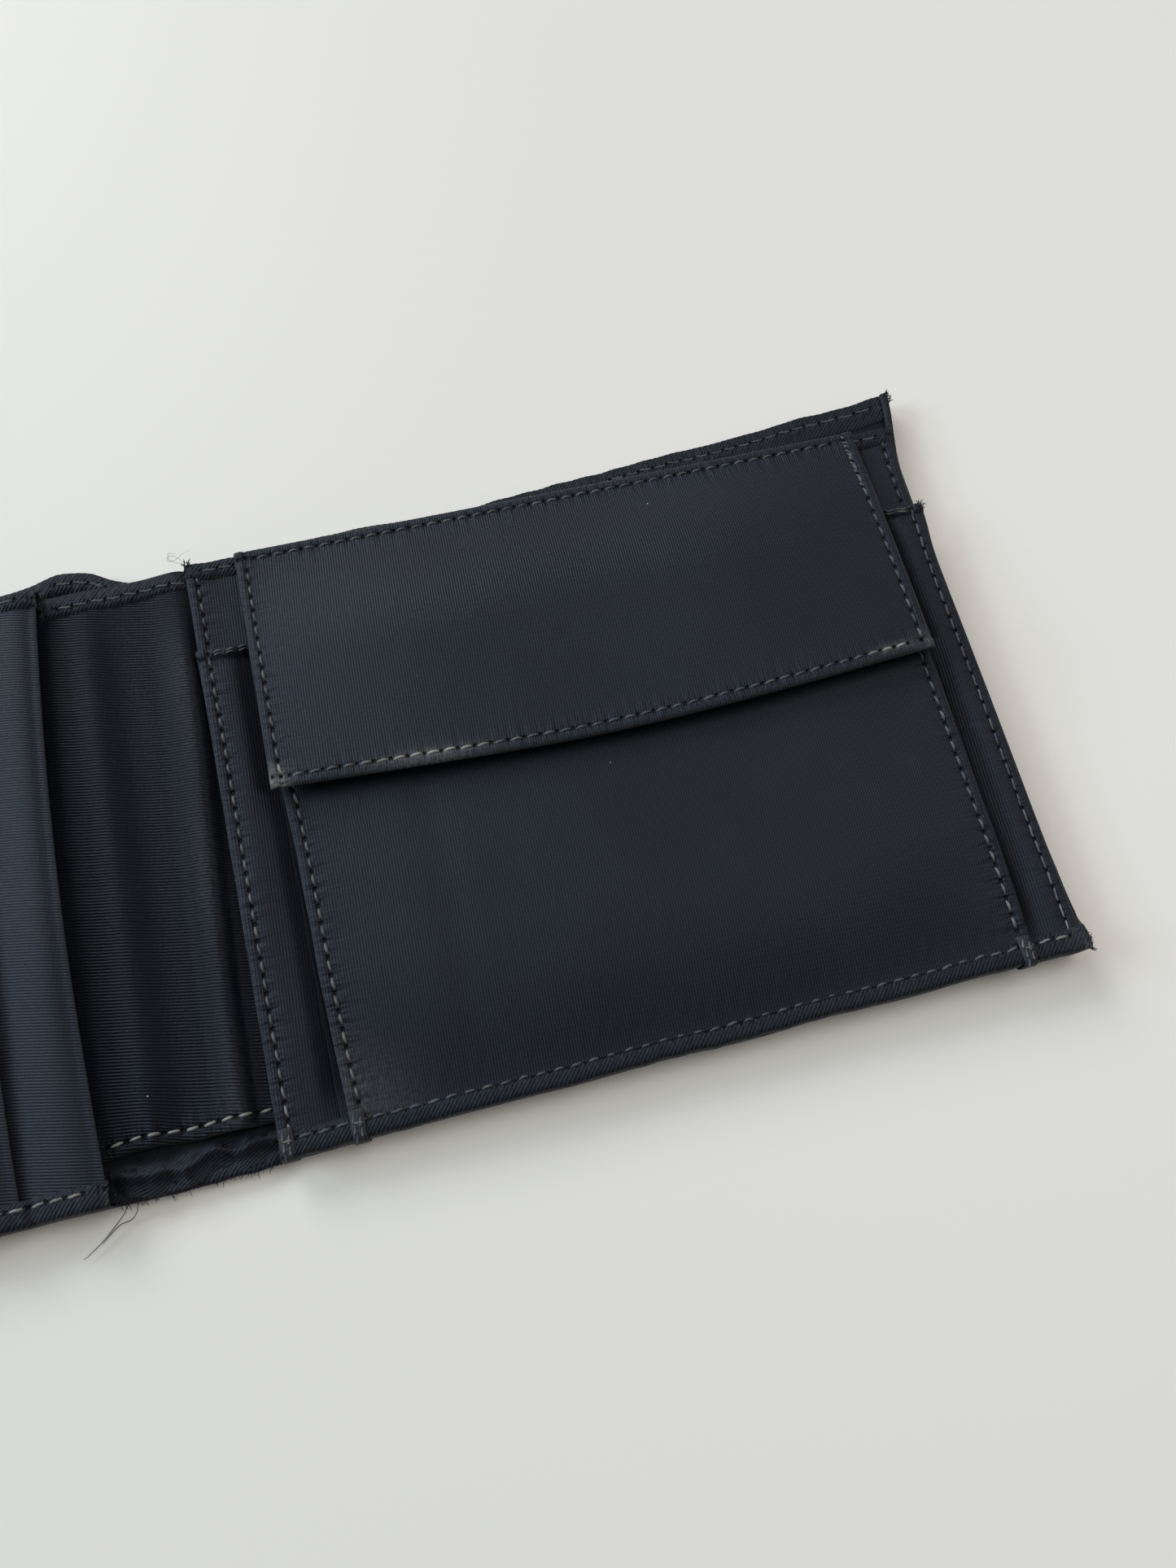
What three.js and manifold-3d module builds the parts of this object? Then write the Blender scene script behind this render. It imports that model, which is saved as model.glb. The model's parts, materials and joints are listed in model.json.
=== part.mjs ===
// Trifold nylon wallet, lying open and face up, in millimetres.
// +X runs along the open wallet to the coin panel, +Y to the edge where banknotes go in, and +Z up.
// The origin is the middle of the open wallet, on the surface that it lies on.
//
// Three stiffened panels (left, centre, coin) hang together on two soft folds. The outer shell runs
// under all of them, and an inner wall above it makes the banknote compartment. Card slots are sewn on
// the left and centre panels. The coin panel carries a gusseted coin pocket with a snap-down flap.
import Module from "manifold-3d";
import * as THREE from "three";
import { mergeVertices } from "three/addons/utils/BufferGeometryUtils.js";

const manifold = await Module();
manifold.setup();

// ---------- Driving dimensions ----------
const SHELL_HEIGHT = 98.5; // outer shell, bottom edge to top edge
const WALL_HEIGHT = 95; // inner wall, from the same bottom edge
const COIN_WIDTH = 123.85; // fold line to free end
const CENTRE_WIDTH = 122; // fold line to fold line
const LEFT_WIDTH = 118; // short enough to tuck inside the wide fold
const COIN_FOLD_WIDTH = 21.3; // wraps the centre, left and coin panels
const LEFT_FOLD_WIDTH = 6.4; // wraps the centre and left panels

const LAYER_GAP = 0.2; // air between two layers that lie on each other
const FOLD_GAP = 0.15; // from a fold line to the cloth on each side of it
const SEAM_INSET = 0.6; // inner layers stop this far inside the outer edge
const CORNER_RADIUS = 1.2;

// Card slots open towards the coin panel, each one above the last.
const CARD_FROM_FOLD = 0.85; // fold line to the first slot's edge
const CARD_STEP = 11.5;
const CARD_DEPTH = 60;
const CARD_SLOTS = { centre: 4, left: 3 };

// Coin pocket and flap, measured from the fold-side edge of the coin strip.
const STRIP_FROM_FOLD = 0.85;
const POCKET_LEFT = 8;
const POCKET_RIGHT = 114.3;
const POCKET_TOP = 78;
const POCKET_BOTTOM = 3.4;
const POCKET_BEND = 13; // below this the pocket front slopes down to its seam
const GUSSET_TOP = 78.7;
const POCKET_LINING_INSET = 0.3; // between the lining and the gusset leaf beside it
const GUSSET_CREASE = 8; // how far a gusset reaches in under the pocket front
const FLAP_LEFT = 7.2;
const FLAP_RIGHT = 116.2;
const FLAP_BOTTOM = 52.6;
const FLAP_TOP = 92;
const FLAP_BEND = 79.5; // above this the flap slopes down to its seam
const SNAP_HEIGHT = 64;
const NOTCH_HEIGHT = 6; // the folds' inner lining stops short of the bottom edge

// ---------- Layers, from the table up: [underside, thickness] ----------
const SHELL = [0, 0.5];
const STIFFENER = [0.7, 0.4];
const SHELL_LINING = [1.3, 0.3];
const INNER_WALL = [2.6, 0.4];
const FIRST_SLOT = [3.2, 0.35];
const SLOT_PITCH = 0.6;
const POCKET_LINING = [7.55, 0.3];
const POCKET_FRONT = [8.5, 0.4];
const FLAP_LINING = [10.45, 0.3];
const FLAP_OUTER = [11.3, 0.4];
const POCKET_SEAM = { lining: 3.7, front: 4.4 }; // undersides where the cloth meets the bottom seam
const FLAP_SEAM = { lining: 3.9, outer: 4.75 }; // and where the flap meets the top seam

// Edging strips: an upright web against the raw edges and a leg turned in over the face.
const WEB = 0.4;
const LEG_THICKNESS = 0.35;
const LEG_WIDTH = 3.2;
const END_LEG_WIDTH = 2.2;
const BOARD_INSET = 2.4; // stiffener to the panel's edges

// Press stud
const SNAP_SEGMENTS = 28;
const SNAP_DISC_RADIUS = 4.6;
const SNAP_DISC_THICKNESS = 0.35;
const SNAP_GAP = 0.15; // metal to cloth
const STUD_RADIUS = 2;
const STUD_HEIGHT = 0.8; // above its disc
const STUD_ROUNDING = 0.4;
const SOCKET_HEIGHT = 0.7;
const SOCKET_BORE_RADIUS = 2.2;
const NECK_RADIUS = 1.2;
const NECK_HOLE_RADIUS = 1.6;

// ---------- Places worked out from the driving dimensions ----------
const LENGTH = LEFT_WIDTH + LEFT_FOLD_WIDTH + CENTRE_WIDTH + COIN_FOLD_WIDTH + COIN_WIDTH;
const LEFT_END = -LENGTH / 2;
const LEFT_FOLD_START = LEFT_END + LEFT_WIDTH;
const LEFT_FOLD_END = LEFT_FOLD_START + LEFT_FOLD_WIDTH;
const COIN_FOLD_START = LEFT_FOLD_END + CENTRE_WIDTH;
const COIN_FOLD_END = COIN_FOLD_START + COIN_FOLD_WIDTH;
const COIN_END = LENGTH / 2;
const STRIP_LEFT = COIN_FOLD_END + STRIP_FROM_FOLD;
const BOTTOM = -SHELL_HEIGHT / 2;
const WALL_TOP = BOTTOM + WALL_HEIGHT;
const SHELL_TOP = SHELL_HEIGHT / 2;
const CREASE_LEFT = STRIP_LEFT + POCKET_LEFT + GUSSET_CREASE;
const CREASE_RIGHT = STRIP_LEFT + POCKET_RIGHT - GUSSET_CREASE;
const SNAP_X = STRIP_LEFT + (POCKET_LEFT + POCKET_RIGHT) / 2;
const SNAP_Y = BOTTOM + SNAP_HEIGHT;

const top = ([underside, thickness]) => underside + thickness;
const slotLayer = (index) => [FIRST_SLOT[0] + index * SLOT_PITCH, FIRST_SLOT[1]];

// ---------- Materials ----------
const cloth = (color, roughness) => new THREE.MeshStandardMaterial({ color, roughness, metalness: 0 });
const NYLON = cloth(0x22252c, 0.62);
const LINING = cloth(0x1b1e24, 0.7);
const EDGING = cloth(0x1f2228, 0.68);
const BOARD = cloth(0x8a8478, 0.95);
const METAL = new THREE.MeshStandardMaterial({ color: 0x4a4c50, roughness: 0.35, metalness: 1 });

// ---------- Shapes ----------
function rectangle(width, height, radius) {
  const [x, y] = [width / 2, height / 2];
  const shape = new THREE.Shape();
  if (radius === 0) {
    return shape.setFromPoints([[-x, -y], [x, -y], [x, y], [-x, y]].map((at) => new THREE.Vector2(...at)));
  }
  shape.moveTo(-x + radius, -y);
  shape.absarc(x - radius, -y + radius, radius, -Math.PI / 2, 0);
  shape.absarc(x - radius, y - radius, radius, 0, Math.PI / 2);
  shape.absarc(-x + radius, y - radius, radius, Math.PI / 2, Math.PI);
  shape.absarc(-x + radius, -y + radius, radius, Math.PI, 1.5 * Math.PI);
  return shape;
}

// A flat layer of cloth or board: its sides, its bottom and top edges, and its [underside, thickness].
function layer(name, material, [left, right], [low, high], [underside, thickness], radius = CORNER_RADIUS) {
  const shape = rectangle(right - left, high - low, radius);
  const settings = { depth: thickness, bevelEnabled: false, curveSegments: 3 };
  const mesh = new THREE.Mesh(new THREE.ExtrudeGeometry(shape, settings), material);
  mesh.name = name;
  mesh.position.set((left + right) / 2, (low + high) / 2, underside);
  return mesh;
}

// A closed outline of [y, z] points, drawn out along X.
function profileAlongX(name, material, points, left, right) {
  const shape = new THREE.Shape(points.map(([y, z]) => new THREE.Vector2(y, z)));
  const geometry = new THREE.ExtrudeGeometry(shape, { depth: right - left, bevelEnabled: false });
  const [x, y, z] = [[1, 0, 0], [0, 1, 0], [0, 0, 1]].map((axis) => new THREE.Vector3(...axis));
  geometry.applyMatrix4(new THREE.Matrix4().makeBasis(y, z, x));
  const mesh = new THREE.Mesh(geometry, material);
  mesh.name = name;
  mesh.position.x = left;
  return mesh;
}

// A closed outline of [x, z] points, drawn out along Y.
function profileAlongY(name, material, points, low, high) {
  const shape = new THREE.Shape(points.map(([x, z]) => new THREE.Vector2(x, z)));
  const geometry = new THREE.ExtrudeGeometry(shape, { depth: high - low, bevelEnabled: false });
  const mesh = new THREE.Mesh(geometry, material);
  mesh.name = name;
  mesh.rotation.x = Math.PI / 2;
  mesh.position.y = high;
  return mesh;
}

// Cloth of one thickness whose underside follows a path of [y, z] points.
function shapedCloth(name, material, path, thickness, [left, right]) {
  const upper = path.map(([y, z]) => [y, z + thickness]).reverse();
  return profileAlongX(name, material, [...path, ...upper], left, right);
}

// A mesh where it lies, as a solid that can be cut and joined.
function solidOf(mesh) {
  mesh.updateMatrix();
  const bare = mesh.geometry.clone().applyMatrix4(mesh.matrix);
  bare.deleteAttribute("normal");
  bare.deleteAttribute("uv");
  const merged = mergeVertices(bare);
  const vertProperties = merged.attributes.position.array;
  const triVerts = Uint32Array.from(merged.index.array);
  return new manifold.Manifold(new manifold.Mesh({ numProp: 3, vertProperties, triVerts }));
}

function meshOf(solid, name, material) {
  const { vertProperties, triVerts } = solid.getMesh();
  const geometry = new THREE.BufferGeometry();
  geometry.setAttribute("position", new THREE.BufferAttribute(vertProperties, 3));
  geometry.setIndex(new THREE.BufferAttribute(triVerts, 1));
  const mesh = new THREE.Mesh(geometry, material);
  mesh.name = name;
  return mesh;
}

// Cuts the hole that the snap's neck passes through.
function withNeckHole(mesh) {
  const drill = new THREE.Mesh(
    new THREE.CylinderGeometry(NECK_HOLE_RADIUS, NECK_HOLE_RADIUS, SHELL_HEIGHT, SNAP_SEGMENTS));
  drill.rotation.x = Math.PI / 2;
  drill.position.set(SNAP_X, SNAP_Y, 0);
  return meshOf(solidOf(mesh).subtract(solidOf(drill)), mesh.name, mesh.material);
}

// An edging strip along X. side is +1 on a top edge and -1 on a bottom edge. The web climbs from low,
// and the leg lies on the layers that end at height stack.
function edgingAlongX(name, side, edge, low, stack, left, right) {
  const legTop = stack + LAYER_GAP + LEG_THICKNESS;
  const points = [
    [edge, low],
    [edge, legTop],
    [edge - side * LEG_WIDTH, legTop],
    [edge - side * LEG_WIDTH, stack + LAYER_GAP],
    [edge - side * WEB, stack + LAYER_GAP],
    [edge - side * WEB, low],
  ];
  return profileAlongX(name, EDGING, points, left, right);
}

// An edging strip down a free end. side is +1 at the coin end and -1 at the left end.
function edgingAtEnd(name, side, end, stack) {
  const legTop = stack + LAYER_GAP + LEG_THICKNESS;
  const webFoot = top(SHELL) + LAYER_GAP;
  const points = [
    [end, webFoot],
    [end, legTop],
    [end - side * END_LEG_WIDTH, legTop],
    [end - side * END_LEG_WIDTH, stack + LAYER_GAP],
    [end - side * WEB, stack + LAYER_GAP],
    [end - side * WEB, webFoot],
  ];
  const clearance = LEG_WIDTH + LAYER_GAP;
  return profileAlongY(name, EDGING, points, BOTTOM + clearance, WALL_TOP - clearance);
}

// A turned metal piece from its [radius, z] outline.
function turned(name, outline) {
  const points = outline.map(([radius, z]) => new THREE.Vector2(radius, z));
  const mesh = new THREE.Mesh(new THREE.LatheGeometry(points, SNAP_SEGMENTS), METAL);
  mesh.name = name;
  mesh.rotation.x = Math.PI / 2;
  mesh.position.set(SNAP_X, SNAP_Y, 0);
  return mesh;
}

function group(...meshes) {
  const made = new THREE.Group();
  made.add(...meshes);
  return made;
}

// ---------- Panels ----------
// The layers every panel has: shell, stiffener and lining under the banknotes, inner wall above them.
function panelBase(name, left, right) {
  const inset = [left + SEAM_INSET, right - SEAM_INSET];
  return [
    layer(`${name}_shell`, NYLON, [left, right], [BOTTOM, SHELL_TOP], SHELL),
    layer(`${name}_stiffener`, BOARD, [left + BOARD_INSET, right - BOARD_INSET],
      [BOTTOM + BOARD_INSET, SHELL_TOP - BOARD_INSET], STIFFENER),
    layer(`${name}_shell_lining`, LINING, inset,
      [BOTTOM + SEAM_INSET, SHELL_TOP - SEAM_INSET], SHELL_LINING),
    layer(`${name}_inner_wall`, NYLON, inset, [BOTTOM + SEAM_INSET, WALL_TOP - SEAM_INSET], INNER_WALL),
  ];
}

// The three strips along a panel's long edges. stack is the height of the layers under the legs.
function panelEdging(name, stack, left, right) {
  const webFoot = top(SHELL) + LAYER_GAP;
  return [
    edgingAlongX(`${name}_shell_top_edging`, 1, SHELL_TOP, webFoot, top(SHELL_LINING), left, right),
    edgingAlongX(`${name}_inner_top_edging`, 1, WALL_TOP, INNER_WALL[0], stack, left, right),
    edgingAlongX(`${name}_bottom_edging`, -1, BOTTOM, webFoot, stack, left, right),
  ];
}

// Card slots, the first one lowest and nearest to the fold. The last one covers the rest of the panel.
function cardSlots(name, count, left, foldLine) {
  return Array.from({ length: count }, (_, index) => {
    const edge = foldLine - CARD_FROM_FOLD - index * CARD_STEP;
    const back = index === count - 1 ? left : edge - CARD_DEPTH;
    const rows = [BOTTOM + SEAM_INSET, WALL_TOP - SEAM_INSET];
    return layer(`${name}_card_slot_${index + 1}`, NYLON, [back, edge], rows, slotLayer(index));
  });
}

function centrePanel() {
  const [left, right] = [LEFT_FOLD_END + FOLD_GAP, COIN_FOLD_START - FOLD_GAP];
  const stack = top(slotLayer(CARD_SLOTS.centre - 1));
  return group(
    ...panelBase("centre", left, right),
    ...cardSlots("centre", CARD_SLOTS.centre, LEFT_FOLD_END + CARD_FROM_FOLD, COIN_FOLD_START),
    ...panelEdging("centre", stack, LEFT_FOLD_END + CARD_FROM_FOLD, COIN_FOLD_START - CARD_FROM_FOLD),
  );
}

function leftPanel() {
  const right = LEFT_FOLD_START - FOLD_GAP;
  const stack = top(slotLayer(CARD_SLOTS.left - 1));
  const inner = LEFT_END + SEAM_INSET;
  return group(
    ...panelBase("left", LEFT_END, right),
    ...cardSlots("left", CARD_SLOTS.left, inner, LEFT_FOLD_START),
    ...panelEdging("left", stack, inner, LEFT_FOLD_START - CARD_FROM_FOLD),
    edgingAtEnd("left_end_edging", -1, LEFT_END, stack),
  );
}

// A gusset's outer leaf lies on the inner wall, and its inner edge stands up against the pocket lining.
function gussetBase(name, outer, crease) {
  const [floor, thickness] = slotLayer(0);
  const inside = crease - Math.sign(crease - outer) * thickness;
  const ordered = (...ends) => ends.sort((a, b) => a - b);
  const standing = [floor, POCKET_LINING[0] - LAYER_GAP - floor];
  const high = BOTTOM + GUSSET_TOP;
  const leaf = layer(name, NYLON, ordered(outer, crease), [BOTTOM + SEAM_INSET, high], slotLayer(0), 0);
  const web = layer(name, NYLON, ordered(inside, crease), [BOTTOM + POCKET_BEND, high], standing, 0);
  return meshOf(solidOf(leaf).add(solidOf(web)), name, NYLON);
}

function coinPanel() {
  const left = COIN_FOLD_END + FOLD_GAP;
  const inner = COIN_END - SEAM_INSET;
  const stack = top(slotLayer(0));
  const webFoot = top(SHELL) + LAYER_GAP;
  return group(
    ...panelBase("coin", left, COIN_END),
    gussetBase("coin_gusset_base_left", STRIP_LEFT, CREASE_LEFT),
    gussetBase("coin_gusset_base_right", inner, CREASE_RIGHT),
    edgingAlongX("coin_shell_top_edging", 1, SHELL_TOP, webFoot, top(SHELL_LINING), STRIP_LEFT, inner),
    edgingAlongX("coin_inner_top_edging", 1, WALL_TOP, INNER_WALL[0], top(INNER_WALL), STRIP_LEFT, inner),
    edgingAlongX("coin_bottom_edging", -1, BOTTOM, webFoot, stack, STRIP_LEFT, inner),
    edgingAtEnd("coin_end_edging", 1, COIN_END, stack),
  );
}

// ---------- Folds ----------
// A soft strip between two panels: shell and lining below, and a shorter inner lining above.
function fold(name, start, end) {
  const across = [start + FOLD_GAP, end - FOLD_GAP];
  const rows = [BOTTOM + SEAM_INSET, SHELL_TOP - SEAM_INSET];
  const inner = [BOTTOM + NOTCH_HEIGHT, WALL_TOP - SEAM_INSET];
  const webFoot = top(SHELL) + LAYER_GAP;
  const liningTop = top(SHELL_LINING);
  return group(
    layer(`${name}_shell`, NYLON, across, [BOTTOM, SHELL_TOP], SHELL),
    layer(`${name}_shell_lining`, LINING, across, rows, SHELL_LINING),
    layer(`${name}_inner_lining`, NYLON, across, inner, INNER_WALL),
    edgingAlongX(`${name}_shell_top_edging`, 1, SHELL_TOP, webFoot, liningTop, ...across),
    edgingAlongX(`${name}_shell_bottom_edging`, -1, BOTTOM, webFoot, liningTop, ...across),
    edgingAlongX(`${name}_inner_top_edging`, 1, WALL_TOP, INNER_WALL[0], top(INNER_WALL), ...across),
  );
}

// ---------- Coin pocket ----------
// Pocket cloth slopes up from the bottom seam to POCKET_BEND and is level from there to the mouth.
function pocketCloth(name, material, [underside, thickness], seam, across) {
  const [low, bend, high] = [POCKET_BOTTOM, POCKET_BEND, POCKET_TOP].map((row) => BOTTOM + row);
  const path = [[low, seam], [bend, underside], [high, underside]];
  return shapedCloth(name, material, path, thickness, across);
}

// The front, its lining, and the leaf of each gusset that is sewn to it.
function coinPocket() {
  const [left, right] = [STRIP_LEFT + POCKET_LEFT, STRIP_LEFT + POCKET_RIGHT];
  const between = [CREASE_LEFT + POCKET_LINING_INSET, CREASE_RIGHT - POCKET_LINING_INSET];
  const seam = POCKET_SEAM.lining;
  const rivetTop = POCKET_FRONT[0] - SNAP_GAP;
  const rivetFoot = rivetTop - SNAP_DISC_THICKNESS;
  const studFoot = top(POCKET_FRONT) + SNAP_GAP;
  const neckTop = studFoot - SNAP_GAP / 2;
  const discTop = studFoot + SNAP_DISC_THICKNESS;
  return group(
    withNeckHole(pocketCloth("coin_pocket_front", NYLON, POCKET_FRONT, POCKET_SEAM.front, [left, right])),
    pocketCloth("coin_pocket_lining", LINING, POCKET_LINING, seam, between),
    pocketCloth("coin_pocket_gusset_left", NYLON, POCKET_LINING, seam, [left, CREASE_LEFT]),
    pocketCloth("coin_pocket_gusset_right", NYLON, POCKET_LINING, seam, [CREASE_RIGHT, right]),
    turned("snap_stud_rivet", [
      [0, rivetFoot],
      [SNAP_DISC_RADIUS, rivetFoot],
      [SNAP_DISC_RADIUS, rivetTop],
      [NECK_RADIUS, rivetTop],
      [NECK_RADIUS, neckTop],
      [0, neckTop],
    ]),
    turned("snap_stud", [
      [0, studFoot],
      [SNAP_DISC_RADIUS, studFoot],
      [SNAP_DISC_RADIUS, discTop],
      [STUD_RADIUS - STUD_ROUNDING, discTop],
      [STUD_RADIUS, discTop + STUD_HEIGHT - STUD_ROUNDING],
      [STUD_RADIUS - STUD_ROUNDING, discTop + STUD_HEIGHT],
      [0, discTop + STUD_HEIGHT],
    ]),
  );
}

// ---------- Flap ----------
// Flap cloth slopes up from the top seam to FLAP_BEND and is level from there to its free edge.
function flapCloth(name, material, [underside, thickness], seam, inset) {
  const [low, bend, high] = [FLAP_BOTTOM + inset, FLAP_BEND, FLAP_TOP].map((row) => BOTTOM + row);
  const across = [STRIP_LEFT + FLAP_LEFT + inset, STRIP_LEFT + FLAP_RIGHT - inset];
  const path = [[low, underside], [bend, underside], [high, seam]];
  return shapedCloth(name, material, path, thickness, across);
}

function flap() {
  const socketTop = FLAP_LINING[0] - SNAP_GAP;
  const socketFoot = socketTop - SOCKET_HEIGHT;
  const capFoot = top(FLAP_LINING) + SNAP_GAP;
  const capTop = FLAP_OUTER[0] - SNAP_GAP;
  return group(
    flapCloth("flap_outer", NYLON, FLAP_OUTER, FLAP_SEAM.outer, 0),
    withNeckHole(flapCloth("flap_lining", LINING, FLAP_LINING, FLAP_SEAM.lining, SEAM_INSET)),
    turned("snap_socket", [
      [SOCKET_BORE_RADIUS, socketFoot],
      [SNAP_DISC_RADIUS, socketFoot],
      [SNAP_DISC_RADIUS, socketTop],
      [SOCKET_BORE_RADIUS, socketTop],
      [SOCKET_BORE_RADIUS, socketFoot],
    ]),
    turned("snap_socket_cap", [
      [0, socketTop],
      [NECK_RADIUS, socketTop],
      [NECK_RADIUS, capFoot],
      [SNAP_DISC_RADIUS, capFoot],
      [SNAP_DISC_RADIUS, capTop],
      [0, capTop],
    ]),
  );
}

// ---------- Assembly ----------
const wallet = group(
  leftPanel(),
  fold("left_fold", LEFT_FOLD_START, LEFT_FOLD_END),
  centrePanel(),
  fold("coin_fold", COIN_FOLD_START, COIN_FOLD_END),
  coinPanel(),
  coinPocket(),
  flap(),
);

export default wallet;
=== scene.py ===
"""The looks of a trifold nylon wallet that lies open, built around its CAD frame.

Shapes are worked out in millimetres in the frame's axes and turned into metres as meshes are made.
Cloth is a closed sheet over a grid. A surface function gives its upper face from two distances on
the flat cloth, and the hems, grooves and puckers are part of that function.
"""

import json
import math

import bpy
import numpy as np
from mathutils import Matrix, Vector


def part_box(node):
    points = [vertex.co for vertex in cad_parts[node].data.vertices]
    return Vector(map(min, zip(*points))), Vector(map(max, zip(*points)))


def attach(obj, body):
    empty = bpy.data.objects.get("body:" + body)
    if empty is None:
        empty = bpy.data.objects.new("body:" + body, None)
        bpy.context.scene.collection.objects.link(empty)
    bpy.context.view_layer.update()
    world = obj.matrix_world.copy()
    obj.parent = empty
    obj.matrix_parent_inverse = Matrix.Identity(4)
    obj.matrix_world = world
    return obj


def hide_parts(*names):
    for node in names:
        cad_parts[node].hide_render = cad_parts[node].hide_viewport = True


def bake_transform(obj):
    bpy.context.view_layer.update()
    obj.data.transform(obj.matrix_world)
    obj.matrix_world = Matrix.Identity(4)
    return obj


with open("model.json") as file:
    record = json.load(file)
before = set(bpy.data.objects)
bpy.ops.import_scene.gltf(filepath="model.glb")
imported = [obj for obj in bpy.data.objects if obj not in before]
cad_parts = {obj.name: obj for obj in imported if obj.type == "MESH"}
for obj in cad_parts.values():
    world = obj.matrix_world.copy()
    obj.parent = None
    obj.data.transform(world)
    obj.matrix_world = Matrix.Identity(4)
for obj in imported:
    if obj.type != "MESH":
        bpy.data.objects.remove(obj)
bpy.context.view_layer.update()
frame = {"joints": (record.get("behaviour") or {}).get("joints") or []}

MM = 0.001
STITCH = 2.6  # from one stitch to the next
HEM = 1.85  # from an edge to its line of stitches
THREAD = 0.24  # radius
CLOTH = 0.4  # thickness of a hemmed cloth
THIN = 0.3  # thickness of a lining
TAPE = 0.32  # thickness of an edging strip
SHELL_CLOTH = 0.5  # thickness of the shell
LIGHT_CLOTH = 0.35  # thickness of the gussets and card slots
RIB = 1.05  # pitch of the ribs on an edging strip
END_LIFT, EDGE_LIFT = 1.5, 0.7  # how far the coin end and the bottom edge beside it lift off the table
NO_SEAM = 50  # distance to a line of stitches where there is none
rng = np.random.default_rng(7)


# ---------- Places, in millimetres, from the CAD frame ----------
def span(node):
    """Lowest and highest x, y and z of a CAD node."""
    low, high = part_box(node)
    return [(low[i] / MM, high[i] / MM) for i in range(3)]


def hinge(joint):
    found = [j for j in frame["joints"] if j["name"] == joint]
    return [value / MM for value in found[0]["pos_m"]]


BOTTOM, SHELL_TOP = span("coin_shell")[1]
WALL_TOP = span("coin_inner_top_edging")[1][1]
COIN_END = span("coin_shell")[0][1]
LEFT_END = span("left_shell")[0][0]
STRIP_LEFT = span("coin_inner_top_edging")[0][0]
COIN_NEAR, COIN_FAR = hinge("coin_fold_near")[0], hinge("coin_fold_far")[0]
LEFT_NEAR, LEFT_FAR = hinge("left_fold_near")[0], hinge("left_fold_far")[0]
FLAP_HINGE_Y = hinge("flap_lift")[1]
FLAP_LOW = span("flap_outer")[1][0]
SHELL_FACE = span("coin_shell")[2][1]
BOARD_FACE = span("coin_stiffener")[2][1]
LINING_FACE = span("coin_shell_lining")[2][1]
WALL_FACE = span("coin_inner_wall")[2][1]
SHELL_FOOT = SHELL_FACE + 0.1  # where the strips on the shell start


# ---------- Small maths ----------
def smooth(t):
    t = np.clip(t, 0, 1)
    return t * t * (3 - 2 * t)


def bump(t, centre, width):
    return np.exp(-(((t - centre) / width) ** 2))


def arch(share):
    """Half a sine wave over shares from 0 to 1."""
    return np.sin(np.pi * np.clip(share, 0, 1))


def crowned(away, reach):
    """A rise from 0 to 1, steep at first, over distances away from an edge."""
    return 1 - (1 - np.clip(away / reach, 0, 1)) ** 2.2


def stitch_wave(along):
    """1 at the needle holes of a row of stitches, and -1 halfway between them."""
    return np.cos(2 * np.pi * along / STITCH)


def constant(value):
    return lambda x, y=0: value + 0 * x


def through(points):
    """A smooth function through (place, value) points."""
    at, value = np.array(points, float).T
    slope = np.gradient(value, at)

    def curve(x):
        x = np.clip(x, at[0], at[-1])
        i = np.clip(np.searchsorted(at, x) - 1, 0, len(at) - 2)
        width = at[i + 1] - at[i]
        t = (x - at[i]) / width
        a, b = value[i], value[i + 1]
        return (
            a * (1 + 2 * t) * (1 - t) ** 2
            + b * t * t * (3 - 2 * t)
            + width * slope[i] * t * (1 - t) ** 2
            - width * slope[i + 1] * t * t * (1 - t)
        )

    return curve


def section(points):
    """A smooth line through 2-D points, as a function of the distance along it, and its length."""
    p = np.array(points, float)
    p = np.vstack([2 * p[0] - p[1], p, 2 * p[-1] - p[-2]])
    t = np.linspace(0, 1, 16, endpoint=False)[:, None]
    dense = [
        b + 0.5 * t * (c - a + t * (2 * a - 5 * b + 4 * c - d + t * (3 * (b - c) + d - a)))
        for a, b, c, d in zip(p, p[1:], p[2:], p[3:])
    ]
    dense = np.vstack(dense + [p[-2:-1]])
    at = np.concatenate([[0], np.cumsum(np.linalg.norm(np.diff(dense, axis=0), axis=1))])
    return (lambda s: (np.interp(s, at, dense[:, 0]), np.interp(s, at, dense[:, 1]))), at[-1]


def uneven(x, y, size, seed):
    """Smooth irregular values from -1 to 1, with features about size across."""
    draws = np.random.default_rng(seed)
    total = 0
    for _ in range(5):
        angle, phase = draws.uniform(0, 2 * np.pi, 2)
        pitch = size * draws.uniform(0.8, 2.2)
        total = total + np.sin(2 * np.pi * (x * np.cos(angle) + y * np.sin(angle)) / pitch + phase)
    return total / 3.2


def lines(low, high, step, fine=3.6, fine_step=0.3):
    """Grid lines about step apart, closer together near both ends."""
    close = np.concatenate([[0, 0.06, 0.15], np.arange(0.3, fine, fine_step)])
    close = close[close < (high - low) / 2 - 0.1]
    count = max(2, round((high - low - 2 * close[-1]) / step) + 1)
    inner = np.linspace(low + close[-1], high - close[-1], count)
    return np.unique(np.concatenate([low + close, inner, high - close]).round(5))


def unit(vectors):
    return vectors / np.linalg.norm(vectors, axis=-1, keepdims=True)


# ---------- Shared shape of the wallet ----------
def drape(x, y):
    """How far the coin panel's right end and bottom edge lift off the table."""
    start = COIN_FAR + 40
    reach = np.clip((x - start) / (COIN_END - start), 0, 1)
    middle = 0.55 + 0.45 * np.cos(np.pi * np.clip(y / (SHELL_TOP - BOTTOM), -0.5, 0.5))
    low = np.clip((BOTTOM + 26 - y) / 26, 0, 1) * smooth((x - COIN_FAR) / 30)
    return END_LIFT * reach**2 * middle + EDGE_LIFT * low**2


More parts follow.
